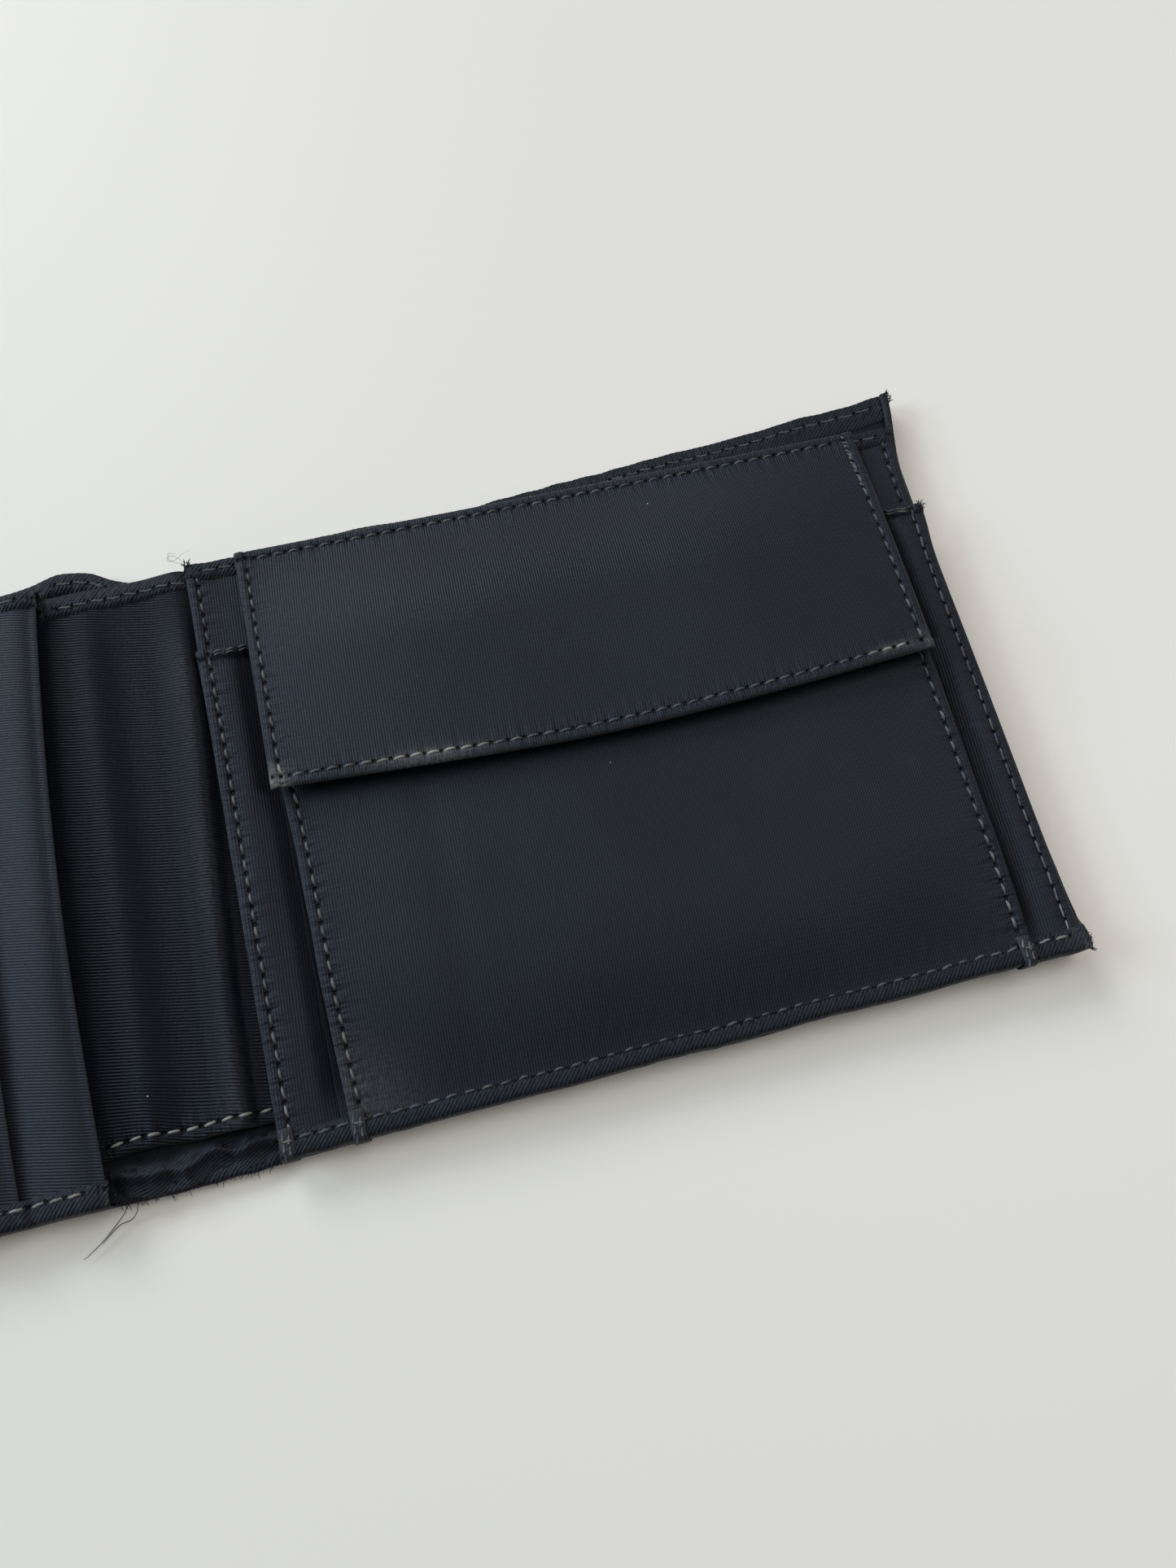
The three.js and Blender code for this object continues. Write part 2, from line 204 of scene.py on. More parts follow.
# Shift of the shell's top edge, by distance right of STRIP_LEFT: it sags at the fold and rises at the end.
SHELL_EDGE = through(
    [(-60, 0), (-38, -1.2), (-31, -1.6), (-25.5, -1.0), (-20, 0.4), (-15.3, -0.5), (-12, -2.4),
     (-8.8, -3.9), (-5.4, -4.2), (-1.8, -3.6), (3, -2.9), (12, -2.4), (30, -1.8), (45, -2.1),
     (60, -1.0), (80, 0.5), (95, 1.4), (108, 2.6), (117, 3.3), (123, 4.2)]
)


def pull(x, y):
    """Shift of the outer layers in y: the shell's top edge isn't straight."""
    high = smooth((y - SHELL_TOP + 30) / 30)
    low = smooth((BOTTOM + 12 - y) / 12)
    frayed_foot = -0.5 * bump(x, STRIP_LEFT - 12, 12)
    return high * SHELL_EDGE(x - STRIP_LEFT) + low * (0.2 * uneven(x, 0, 14, 3) - 0.1 + frayed_foot)


def jut(x, y):
    """Shift of the outer layers in x: the coin end's corners stand out a little."""
    end = smooth((x - COIN_END + 14) / 14)
    return end * (2.9 * smooth((y - SHELL_TOP + 15) / 15) + 0.5 * smooth((BOTTOM + 25 - y) / 25))


def flare(x, y):
    """Shift of the inner wall in x: its top right corner stands out a little."""
    return 0.8 * smooth((x - COIN_END + 14) / 14) * smooth((y - WALL_TOP + 14) / 14)


def shell_top_edge(x):
    return SHELL_TOP + pull(x, SHELL_TOP)


def shell_bottom_edge(x):
    return BOTTOM + pull(x, BOTTOM)


def hem(s, along, amount=1.0):
    """Height that a turned, stitched hem adds at s from its edge and at a distance along it."""
    turned = 0.26 * smooth(s / 0.5) * (1 - smooth((s - HEM + 0.6) / 0.5))
    wave = stitch_wave(along)
    strength = 0.7 + 0.3 * np.sin(along * 0.37) + 0.2 * np.sin(along * 1.13)
    groove = -(0.14 + 0.16 * (0.5 + 0.5 * wave) ** 3) * bump(s, HEM, 0.28)
    beyond = np.exp(-np.abs(s - HEM) / 1.5) * smooth(s / 0.7)
    return amount * (turned + groove - 0.12 * wave * strength * beyond)


def hems(x, y, box, sides):
    """Height that the hems add on some sides of a rectangle: l, r, b and t."""
    (left, right), (low, high) = box
    away = {"l": (x - left, y), "r": (right - x, y), "b": (y - low, x), "t": (high - y, x)}
    return sum(hem(*away[side]) for side in sides)


def hem_seams(box, sides):
    """The same hems' lines of stitches, for cloth()."""
    (left, right), (low, high) = box
    across_u = {"l": left + HEM, "r": right - HEM}
    across_v = {"b": low + HEM, "t": high - HEM}
    return [("u", across_u[side]) if side in across_u else ("v", across_v[side]) for side in sides]


# ---------- Mesh making ----------
def link(name, data):
    made = bpy.data.objects.new(name, data)
    bpy.context.scene.collection.objects.link(made)
    return made


def mesh_object(name, vertices, faces, material):
    mesh = bpy.data.meshes.new(name)
    mesh.from_pydata((np.asarray(vertices) * MM).tolist(), [], faces)
    mesh.polygons.foreach_set("use_smooth", [True] * len(mesh.polygons))
    mesh.materials.append(material)
    return link(name, mesh)


def store(piece, name, kind, key, values):
    attribute = piece.data.attributes.new(name, kind, "POINT")
    attribute.data.foreach_set(key, np.asarray(values, np.float32).ravel())


def grid_faces(nu, nv, first=0):
    i, j = np.meshgrid(np.arange(nu - 1), np.arange(nv - 1), indexing="ij")
    a = (first + i * nv + j).ravel()
    return np.stack([a, a + nv, a + nv + 1, a + 1], 1)


def from_rims(u, v):
    """Each grid point's distances from the first and last u, and from the first and last v."""
    return u - u[0, 0], u[-1, 0] - u, v - v[0, 0], v[0, -1] - v


def rounding(u, v, radius, cut):
    """How far the rims drop at each grid point. cut marks the rims that are left square."""
    drop = np.zeros_like(u)
    for away, square in zip(from_rims(u, v), cut):
        if not square:
            near = 1 - np.clip(away / radius, 0, 1)
            drop = np.maximum(drop, radius * (1 - np.sqrt(1 - near**2)))
    return drop


def seam_and_shade_field(u, v, seams, hollow):
    """At each point, how far the nearest stitch line across u and across v are, and how much painted shade
    darkens it.
    """
    across = {"u": NO_SEAM + 0 * u, "v": NO_SEAM + 0 * v}
    for axis, place in seams:
        across[axis] = np.minimum(across[axis], np.abs((u if axis == "u" else v) - place))
    return np.stack([across["u"], across["v"], hollow(u, v)], -1)


def cloth(name, surface, us, vs, thickness, material,
          wear=constant(0), cut=(0, 0, 0, 0), seams=(), hollow=constant(0)):
    """A closed sheet of cloth. cut marks the rims (first u, last u, first v, last v) left square.

    seams lists its stitch lines, as ("u", place) or ("v", place). wear gives, from 0 to 1, how rubbed
    the cloth is. The last function gives, from 0 to 1, the painted shade that darkens the cloth in
    creases, recesses and under other cloth, where shadow falls.
    """
    u, v = np.meshgrid(us, vs, indexing="ij")
    upper = np.stack(surface(u, v), -1)
    normal = unit(np.cross(np.gradient(upper, axis=0), np.gradient(upper, axis=1)))
    drop = 0.9 * rounding(u, v, thickness / 2, cut)[..., None]
    lower = upper - normal * (thickness - drop)
    upper = upper - normal * drop
    nu, nv = u.shape
    count = nu * nv
    index = np.arange(count).reshape(nu, nv)
    loop = np.concatenate([index[:-1, 0], index[-1, :-1], index[:0:-1, -1], index[0, :0:-1]])
    after = np.roll(loop, -1)
    rim = np.stack([loop, loop + count, after + count, after], 1)
    faces = np.concatenate([grid_faces(nu, nv), grid_faces(nu, nv, count)[:, ::-1], rim])
    vertices = np.concatenate([upper.reshape(-1, 3), lower.reshape(-1, 3)])
    piece = mesh_object(name, vertices, faces.tolist(), material)
    worn = np.clip(wear(u, v), 0, 1)
    # the rounded rims are paler: partly wear along the edges, partly a painted highlight on them
    for away, square in zip(from_rims(u, v), cut):
        worn = np.clip(worn + (0 if square else 0.13) * np.exp(-away / 0.25), 0, 1)
    store(piece, "wear", "FLOAT", "value", np.tile(worn.ravel(), 2))
    weave = np.stack([u, v, 0 * u], -1)
    for field, values in (("weave", weave), ("seam_and_shade", seam_and_shade_field(u, v, seams, hollow))):
        store(piece, field, "FLOAT_VECTOR", "vector", np.tile(values.reshape(-1, 3), (2, 1)))
    if any(cut):
        sharpen(piece, zip((loop % count).tolist(), (after % count).tolist()), count)
    return piece


def sharpen(piece, rim, count):
    """Marks the rim's edges sharp, so that a square cut doesn't bend the shading beside it."""
    rim = {tuple(sorted(pair)) for pair in rim}
    mesh = piece.data
    ends = np.zeros(len(mesh.edges) * 2, int)
    mesh.edges.foreach_get("vertices", ends)
    flags = [tuple(sorted((a % count, b % count))) in rim for a, b in ends.reshape(-1, 2).tolist()]
    attribute = mesh.attributes.get("sharp_edge") or mesh.attributes.new("sharp_edge", "BOOLEAN", "EDGE")
    attribute.data.foreach_set("value", flags)


def point_on(surface, u, v):
    """Points of the surface and their unit normals."""
    u, v = np.asarray(u, float), np.asarray(v, float)
    step = 0.05
    here = np.stack(surface(u, v), -1)
    along_u = np.stack(surface(u + step, v), -1) - here
    along_v = np.stack(surface(u, v + step), -1) - here
    return here, unit(np.cross(along_u, along_v))


def whole_stitches(start, end):
    """A straight run, started where hem() and the needle holes have their next stitch."""
    start = start.copy()
    axis = int(np.argmax(np.abs(end - start)))
    way = np.sign(end[axis] - start[axis])
    start[axis] = way * np.ceil(way * start[axis] / STITCH) * STITCH
    return start


def tube_faces(rings, sides, first):
    faces = [
        [first + r * sides + s, first + r * sides + (s + 1) % sides,
         first + (r + 1) * sides + (s + 1) % sides, first + (r + 1) * sides + s]
        for r in range(rings - 1)
        for s in range(sides)
    ]
    faces.append([first + s for s in reversed(range(sides))])
    faces.append([first + (rings - 1) * sides + s for s in range(sides)])
    return faces


def tube(centre, side, up, thick, sides):
    """Rings of points around a line of centres, in each one's plane of side and up."""
    turn = np.linspace(0, 2 * np.pi, sides, endpoint=False)[None, :, None]
    ring = side[:, None] * np.cos(turn) + up[:, None] * np.sin(turn)
    return (centre[:, None] + ring * thick[:, None, None]).reshape(-1, 3)


def stitches(name, surface, runs, wear=constant(0), under=0, pitch=STITCH, radius=THREAD):
    """Stitches along straight runs ((u, v), (u, v)) on a surface.

    under is a cloth's thickness, for stitches on its back.
    """
    sides, rings = 7, 8
    vertices, faces, worn = [], [], []
    rise = np.sin(np.linspace(0, np.pi, rings))
    for start, end in runs:
        start, end = np.array(start, float), np.array(end, float)
        if pitch == STITCH:
            start = whole_stitches(start, end)
        length = np.linalg.norm(end - start)
        ahead = (end - start) / length
        aside = np.array([-ahead[1], ahead[0]])
        for k in range(max(1, int(length / pitch + 0.01))):
            t = np.linspace(0.12, 0.88, rings) * pitch + k * pitch
            slant = rng.uniform(0.04, 0.16)
            bend = (np.linspace(-1, 1, rings) * slant + rng.uniform(-0.05, 0.05))[:, None]
            flat = start + ahead * t[:, None] + aside * bend
            here, normal = point_on(surface, flat[:, 0], flat[:, 1])
            if under:
                here, normal = here - normal * under, -normal
            centre = here + normal * (0.26 * rise - 0.16 + rng.uniform(-0.02, 0.03))[:, None]
            side = unit(np.cross(normal, np.gradient(centre, axis=0)))
            thick = radius * (0.45 + 0.55 * rise**0.5) * rng.uniform(0.88, 1.1)
            faces += tube_faces(rings, sides, len(vertices) * sides * rings)
            vertices.append(tube(centre, side, normal, thick, sides))
            value = wear(flat[:, 0], flat[:, 1])
            worn.append(np.repeat(np.clip(value + rng.uniform(-0.12, 0.12), 0, 1), sides))
    piece = mesh_object(name, np.concatenate(vertices), faces, SEWING)
    store(piece, "wear", "FLOAT", "value", np.concatenate(worn))
    return piece


def fibres(name, paths, radius, material, worn=0.0):
    """Loose thin threads along smooth lines through 3-D points, tapered at both ends."""
    sides = 5
    vertices, faces = [], []
    for path in paths:
        p = np.array(path, float)
        count = 4 * len(p)
        places = np.linspace(0, len(p) - 1, count)
        centre = np.stack([through(list(enumerate(p[:, k])))(places) for k in range(3)], -1)
        tangent = np.gradient(centre, axis=0)
        side = unit(np.cross(tangent, [0.1, 0.2, 1.0]))
        thick = radius * (0.35 + 0.65 * np.sin(np.linspace(0.15, np.pi - 0.1, count)))
        faces += tube_faces(count, sides, sum(len(v) for v in vertices))
        vertices.append(tube(centre, side, unit(np.cross(side, tangent)), thick, sides))
    piece = mesh_object(name, np.concatenate(vertices), faces, material)
    store(piece, "wear", "FLOAT", "value", np.full(len(piece.data.vertices), worn))
    return piece


def offset(x, y, path):
    """A path of (x, y, z) points, moved by x and y."""
    return [(x + right, y + up, z) for right, up, z in path]


def frayed(start, outward, length, count, spread=(0.6, 0.24)):
    """Paths of short fibres that leave points within spread of start, in a given direction."""
    table_clearance = 0.15
    paths = []
    for _ in range(count):
        here = np.array(start, float) + rng.uniform(-1, 1, 3) * [*spread, 0.3]
        ahead = np.array(outward, float) + rng.uniform(-0.7, 0.7, 3) * [1, 1, 0.5]
        reach = length * rng.uniform(0.35, 1.0)
        curl = rng.uniform(-0.5, 0.5, 3) * [1, 1, 0.4]
        points = [here + ahead * reach * t + curl * reach * t * t for t in (0, 0.35, 0.7, 1)]
        paths.append([(x, y, max(z, table_clearance)) for x, y, z in points])
    return paths


# ---------- Materials ----------
LINT_COLOUR = (0.4, 0.41, 0.41)
RUBBED_COLOUR = (0.15, 0.15, 0.147)
# painted shade: the colour that creases, recesses and cloth under other cloth are darkened towards
PAINTED_SHADE_COLOUR = (0.001, 0.0012, 0.002)
HOLE_COLOUR = (0.002, 0.002, 0.003)
STAIN_COLOUR = (0.034, 0.034, 0.035)
SHADED_YARN = (0.0028, 0.0036, 0.006)


class Shading:
    """A material's nodes, with a short call for each kind that it uses. Each call returns an output."""

    def __init__(self, name):
        self.material = bpy.data.materials.new(name)
        self.material.use_nodes = True
        self.tree = self.material.node_tree
        self.shader = self.tree.nodes["Principled BSDF"]

    def feed(self, target, value):
        """Links an output to a socket, or sets the socket to a plain value."""
        if isinstance(value, bpy.types.NodeSocket):
            self.tree.links.new(value, target)
        else:
            target.default_value = (*value, 1) if target.type == "RGBA" else value

    def node(self, kind, inputs, output=0, **settings):
        made = self.tree.nodes.new("ShaderNode" + kind)
        for key, value in settings.items():
            setattr(made, key, value)
        for key, value in inputs.items():
            self.feed(made.inputs[key], value)
        return made.outputs[output]

    def mix(self, factor, a, b, blend="MIX"):
        made = self.tree.nodes.new("ShaderNodeMix")
        made.data_type = "RGBA"
        made.blend_type = blend
        sockets = {socket.identifier: socket for socket in made.inputs}
        for name, value in (("Factor_Float", factor), ("A_Color", a), ("B_Color", b)):
            self.feed(sockets[name], value)
        return next(socket for socket in made.outputs if socket.identifier == "Result_Color")

    def scaled(self, value, low, high, to_low=0.0, to_high=1.0):
        inputs = {"Value": value, "From Min": low, "From Max": high, "To Min": to_low, "To Max": to_high}
        return self.node("MapRange", inputs, "Result")

    def maths(self, operation, a, b=0.0):
        return self.node("Math", {0: a, 1: b}, operation=operation)

    def plus(self, a, b):
        return self.maths("ADD", a, b)

    def times(self, a, b):
        return self.maths("MULTIPLY", a, b)

    def attribute(self, name, output):
        return self.node("Attribute", {}, output, attribute_name=name)

    def noise(self, place, scale, detail, **more):
        return self.node("TexNoise", {"Vector": place, "Scale": scale, "Detail": detail, **more}, "Fac")

    def bands(self, place, pitch, direction):
        """Parallel bands, a little distorted, at a pitch in the unit of place."""
        uneven_bands = {"Distortion": 0.9, "Detail": 2.0, "Detail Scale": 1.6}
        inputs = {"Vector": place, "Scale": 0.314 / pitch, **uneven_bands}
        return self.node("TexWave", inputs, "Fac", bands_direction=direction)

    def relief(self, height, distance, strength=1.0, **more):
        """A normal that is bumped by a height. distance is in millimetres."""
        inputs = {"Height": height, "Strength": strength, "Distance": distance * MM, **more}
        return self.node("Bump", inputs)

    def grain(self, scale, detail):
        """Fine noise that is fixed to the piece, with scale in features per metre."""
        return self.noise(self.node("TexCoord", {}, "Object"), scale, detail)

    def finish(self, inputs):
        for key, value in inputs.items():
            self.feed(self.shader.inputs[key], value)
        return self.material


def twill(name, dark, light, angle, pitch=0.42, depth=0.05, roughness=0.5, crossing=0.12, shine=0.18):
    """Nylon twill: ribs at an angle in degrees, crossed by the yarns, with puckers, stains, lint and
    painted shade.
    """
    m = Shading(name)
    weave, seam_and_shade = m.attribute("weave", "Vector"), m.attribute("seam_and_shade", "Vector")
    turned = m.node("Mapping", {"Vector": weave, "Rotation": (0, 0, math.radians(angle))})
    ribs, yarns = m.bands(turned, pitch, "X"), m.bands(turned, pitch * 1.6, "Y")
    height = m.plus(m.times(ribs, 1 - crossing), m.times(yarns, crossing))
    grainy = m.noise(weave, 1.6, 3.0)
    wrinkles, holes, hollow = puckered(m, seam_and_shade, weave)
    rubbed = m.times(m.attribute("wear", "Fac"), m.scaled(grainy, 0.35, 0.62, 0.25, 1.0))
    # the grooves between the ribs are darker than the rib tops: painted shade on the weave
    colour = stained(m, weave, m.mix(height, dark, light))
    colour = m.mix(lint(m, weave), colour, LINT_COLOUR)
    colour = m.mix(rubbed, colour, RUBBED_COLOUR)
    # painted shade: darkens the cloth, and makes it rougher, in creases, recesses and under other cloth
    colour = m.mix(m.times(hollow, 0.85), colour, PAINTED_SHADE_COLOUR)
    colour = m.mix(holes, colour, HOLE_COLOUR)
    dullness = m.scaled(grainy, 0.3, 0.7, roughness - 0.05, roughness + 0.08)
    creased = m.relief(m.maths("SUBTRACT", wrinkles, holes), 0.3)
    return m.finish({
        "Base Color": colour,
        "Roughness": m.plus(dullness, m.times(hollow, 0.4)),
        "Specular IOR Level": shine,
        "Specular Tint": (0.75, 0.86, 1),
        "Sheen Weight": 0.02,
        "Sheen Tint": (0.7, 0.83, 1),
        "Sheen Roughness": 0.4,
        "Normal": m.relief(m.plus(height, m.times(grainy, 0.6)), depth, Normal=creased),
    })


def lint(m, weave):
    """Pale specks, on a few of the cells of a coarse grid."""
    cells = {"Vector": weave, "Scale": 0.16}
    distance = m.node("TexVoronoi", cells, "Distance")
    chosen = m.node("SeparateColor", {0: distance.node.outputs["Color"]})
    return m.times(m.scaled(chosen, 0.7, 0.72), m.scaled(distance, 0.026, 0.014, 0, 0.7))


def stained(m, weave, colour):
    """Cloth colour under its broad shade and its stains."""
    shade = m.scaled(m.noise(weave, 0.035, 3.0), 0.3, 0.7, 0.86, 1.14)
    stain = m.scaled(m.noise(weave, 0.06, 6.0, Roughness=0.75), 0.57, 0.75, 0, 0.14)
    grey = m.node("CombineColor", {0: shade, 1: shade, 2: shade})
    return m.mix(stain, m.mix(1.0, colour, grey, "MULTIPLY"), STAIN_COLOUR)


def puckered(m, seam_and_shade, weave):
    """Wrinkles across the seams, the needle holes between their stitches, and the painted shade that
    darkens the cloth.
    """
    away = m.node("SeparateXYZ", {0: seam_and_shade}).node.outputs
    place = m.node("SeparateXYZ", {0: weave}).node.outputs
    wrinkles, holes = 0.0, 0.0
    for distance, along in ((away[0], place[1]), (away[1], place[0])):
        squeezed = m.node("CombineXYZ", {0: m.times(distance, 0.22), 1: along})
        creases = m.scaled(m.noise(squeezed, 1.1, 2.0), 0.3, 0.7, 0, 1.1)
        wrinkles = m.plus(wrinkles, m.times(m.maths("POWER", 0.45, distance), creases))
        wave = m.maths("COSINE", m.times(along, 2 * math.pi / STITCH))
        hole = m.times(m.scaled(wave, 0.72, 0.95), m.scaled(distance, 0.34, 0.16))
        holes = m.maths("MAXIMUM", holes, hole)
    return wrinkles, holes, away[2]


def thread_material(name, dark, light):
    m = Shading(name)
    strands = m.grain(2500.0, 2.0)
    rubbed = m.mix(strands, (0.13, 0.135, 0.135), (0.34, 0.345, 0.335))
    colour = m.mix(m.attribute("wear", "Fac"), m.mix(strands, dark, light), rubbed)
    return m.finish({"Base Color": colour, "Roughness": 0.6, "Normal": m.relief(strands, 0.05, 0.6)})


def board_material():
    m = Shading("fibre_board")
    pulp = m.grain(900.0, 6.0)
    colour = m.mix(pulp, (0.16, 0.14, 0.11), (0.33, 0.3, 0.25))
    return m.finish({"Base Color": colour, "Roughness": 0.92, "Normal": m.relief(pulp, 0.05, 0.5)})


def gunmetal_material():
    m = Shading("gunmetal")
    scuffs = m.grain(1400.0, 5.0)
    colour = m.mix(scuffs, (0.08, 0.08, 0.09), (0.2, 0.2, 0.21))
    dullness = m.scaled(scuffs, 0.3, 0.7, 0.22, 0.45)
    return m.finish({"Base Color": colour, "Roughness": dullness, "Metallic": 1.0})


NYLON = twill("nylon_twill", (0.0032, 0.0041, 0.0073), (0.018, 0.021, 0.0315), 2)
SLOT_NYLON = twill("slot_twill", (0.002, 0.0028, 0.0055), (0.02, 0.0245, 0.036), 102,
                   crossing=0.08, depth=0.06, shine=0.2)
# the folds' lining: the same nylon, made much darker as painted shade, as the folds lie in shadow
SHADED_FOLD_NYLON = twill("shaded_fold_twill", (0.0007, 0.001, 0.0023), (0.006, 0.0077, 0.0135), 102,
                   crossing=0.08, depth=0.09, shine=0.14, roughness=0.46, pitch=0.46)
SHELL_NYLON = twill("shell_twill", SHADED_YARN, (0.01, 0.012, 0.0175), 62)
EDGING = twill("edging_twill", SHADED_YARN, (0.0155, 0.0185, 0.0265), 40,
               depth=0.07, roughness=0.55, pitch=0.5)
LINING = twill("lining_weave", (0.004, 0.005, 0.007), (0.009, 0.0105, 0.014), 0,
               depth=0.02, shine=0.13, roughness=0.65, pitch=0.3)
SEWING = thread_material("sewing_thread", (0.013, 0.017, 0.024), (0.05, 0.062, 0.078))
FLUFF = thread_material("frayed_yarn", (0.003, 0.004, 0.006), (0.014, 0.017, 0.023))
BOARD = board_material()
GUNMETAL = gunmetal_material()


# ---------- How pieces move ----------
def riding(body):
    return lambda piece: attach(piece, body)


def bending():
    """A piece that stays where it is made: its transform is baked into its mesh."""
    return lambda piece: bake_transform(piece)


def stand_for(piece, slot, *nodes):
    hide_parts(*nodes)


NARROWEST_SHEET = 10
sheets = []
trims = {}


def lay(name, surface, box, steps, thickness, material, follow, nodes,
        slot="nylon_twill", held="stretched", rests_on=(), flat=None, extra_rows=(), **looks):
    """A cloth that stands for CAD nodes. box holds its two sides on the flat.

    steps holds what lines() needs for each side, extra_rows are more grid lines across the second, and
    flat is the cloth's cut size where it is larger than the box.
    """
    us, vs = (lines(*side, *step) for side, step in zip(box, steps))
    vs = np.union1d(vs, extra_rows)
    piece = cloth(name, surface, us, vs, thickness, material, **looks)
    follow(piece)
    stand_for(piece, slot, *nodes)
    sheets.append((piece, flat or [side[1] - side[0] for side in box], held, list(rests_on)))


def sew_on(cloth_name, piece, follow):
    """A strip or fibres that are sewn to a cloth and move with it."""
    follow(piece)
    trims.setdefault(cloth_name, []).append(piece)


def sew(cloth_name, name, surface, rows, follow, wear=constant(0), **looks):
    """Rows of stitches in a cloth, which move with it."""
    sew_on(cloth_name, stitches(name, surface, rows, wear, **looks), follow)


def declare_sheets():
    """Counts each cloth narrower than NARROWEST_SHEET as sewn to the centre panel's outer shell."""
    for piece, flat, held, rests_on in sheets:
        if min(flat) < NARROWEST_SHEET:
            trims.setdefault("centre_outer_shell", []).append(piece)


def outer_layer(height):
    """A flat layer's upper face at a height, for the shell and what lies in it."""
    return lambda x, y: (x + jut(x, y), y + pull(x, y), height + drape(x, y))


# ---------- Panels ----------
def panel_base(name, body, trim=(0, 0)):
    """The panel's shell, stiffener, shell lining and inner wall. trim shortens the wall at its ends."""
    follow = riding(body)
    outside = outer_layer(SHELL_FACE)
    shell, board, lining, wall = (
        span(f"{name}_{layer}")[:2] for layer in ("shell", "stiffener", "shell_lining", "inner_wall")
    )
    lay(f"{name}_outer_shell", outside, shell, ([2.2], [1.6]), SHELL_CLOTH, SHELL_NYLON, follow,
        [f"{name}_shell"], rests_on=[f"{name}_stiffener"])
    us, vs = lines(*board[0], 4), lines(*board[1], 4)
    piece = cloth(f"{name}_board", outer_layer(BOARD_FACE), us, vs, CLOTH, BOARD)
    follow(piece)
    stand_for(piece, "stiffener_board", f"{name}_stiffener")
    lay(f"{name}_note_lining", outer_layer(LINING_FACE), lining, ([2.5], [2.5]), THIN, LINING, follow,
        [f"{name}_shell_lining"], "lining_cloth", rests_on=[f"{name}_board"])
    ends = (wall[0][0] + trim[0], wall[0][1] - trim[1])
    box = (ends, wall[1])
    hemmed = "lr" if name == "coin" else ""

    def inside(x, y):
        swell = 0.55 * (1 - smooth((x - ends[0]) / 7)) if hemmed else 0
        return x + flare(x, y), y, WALL_FACE + drape(x, y) + hems(x, y, box, hemmed) + swell

    lay(f"{name}_wall", inside, box, ([1.5], [0.65]), CLOTH, NYLON, follow, [f"{name}_inner_wall"],
        rests_on=[f"{name}_note_lining"], seams=hem_seams(box, hemmed), hollow=painted_shadow_beside_flap)
    return inside, outside


def painted_shadow_beside_flap(x, y):
    """Painted shadow: the wall is darkened along the flap's right end."""
    flap_end = span("flap_outer")[0][1] - 0.6
    return smooth((x - flap_end + 1.2) / 0.8) * (1 - smooth((x - flap_end - 0.4) / 1.2))


def strip(name, node_name, cloth_name, follow, side, edge, foot, face, ends, width, sewn,
          wear=constant(0), cut=(0, 0, 0, 0), holes=True):
    """An edging strip along X, turned over an edge at y = edge(x). It climbs from foot to face(x).

    Its inner side sinks into the cloth, and its stitches run at sewn from the edge. Returns the
    surface over (x, distance from the edge), for the stitches.
    """
    turns_shell = "shell" in name or "bottom" in name
    tall = float(face(ends[0])) - foot
    profile, length = section(
        [(0.42, 0.0), (0.06, 0.16 * tall), (-0.06, 0.5 * tall), (0.06, 0.82 * tall), (0.5, tall),
         (width * 0.6, tall + 0.1), (width, tall - 0.12), (width + 0.7, tall - 0.55)]
    )
    reach = np.linspace(0, length, 60)
    crown = np.argmax(profile(reach)[1] > tall * 0.97)
    place = lambda d: np.interp(d, profile(reach[crown:])[0], reach[crown:])

    def surface(x, s):
        inward, up = profile(s)
        ribs = 0.07 * np.sin(2 * np.pi * (x + side * 0.9 * s) / RIB + 0.6 * uneven(x, s, 4, 13))
        between = 0.5 - 0.5 * stitch_wave(x)
        groove = -0.2 * bump(inward, sewn, 0.35) * (1 - 0.5 * between)
        bulge = 0.14 * between * bump(inward, sewn + 0.7, 0.6)
        lumps = 0.12 * uneven(x, s, 6, 11) * smooth(s / 1.0)
        growth = (face(x) - foot) / tall
        y = edge(x) - side * (inward + 0.12 * uneven(x, 0, 5, 5))
        raised = (ribs * smooth(s / 0.5) + groove + bulge + lumps) * smooth(up / max(tall, 0.1))
        aside = jut(x, y) if turns_shell else flare(x, y)
        return x + aside, y, foot + up * growth + raised + drape(x, y)

    xs, ss = lines(*ends, 0.45), lines(0, length, 0.3, 0.6, 0.15)
    line = float(place(sewn))
    turned = (lambda x, s: surface(x, length - s)) if side > 0 else surface
    seams = [("v", length - line if side > 0 else line)] if holes else []
    piece = cloth(name, turned, xs, ss, TAPE, EDGING, wear, cut, seams)
    sew_on(cloth_name, piece, follow)
    stand_for(piece, "edging_tape", node_name)
    return lambda x, d: surface(x, place(d))


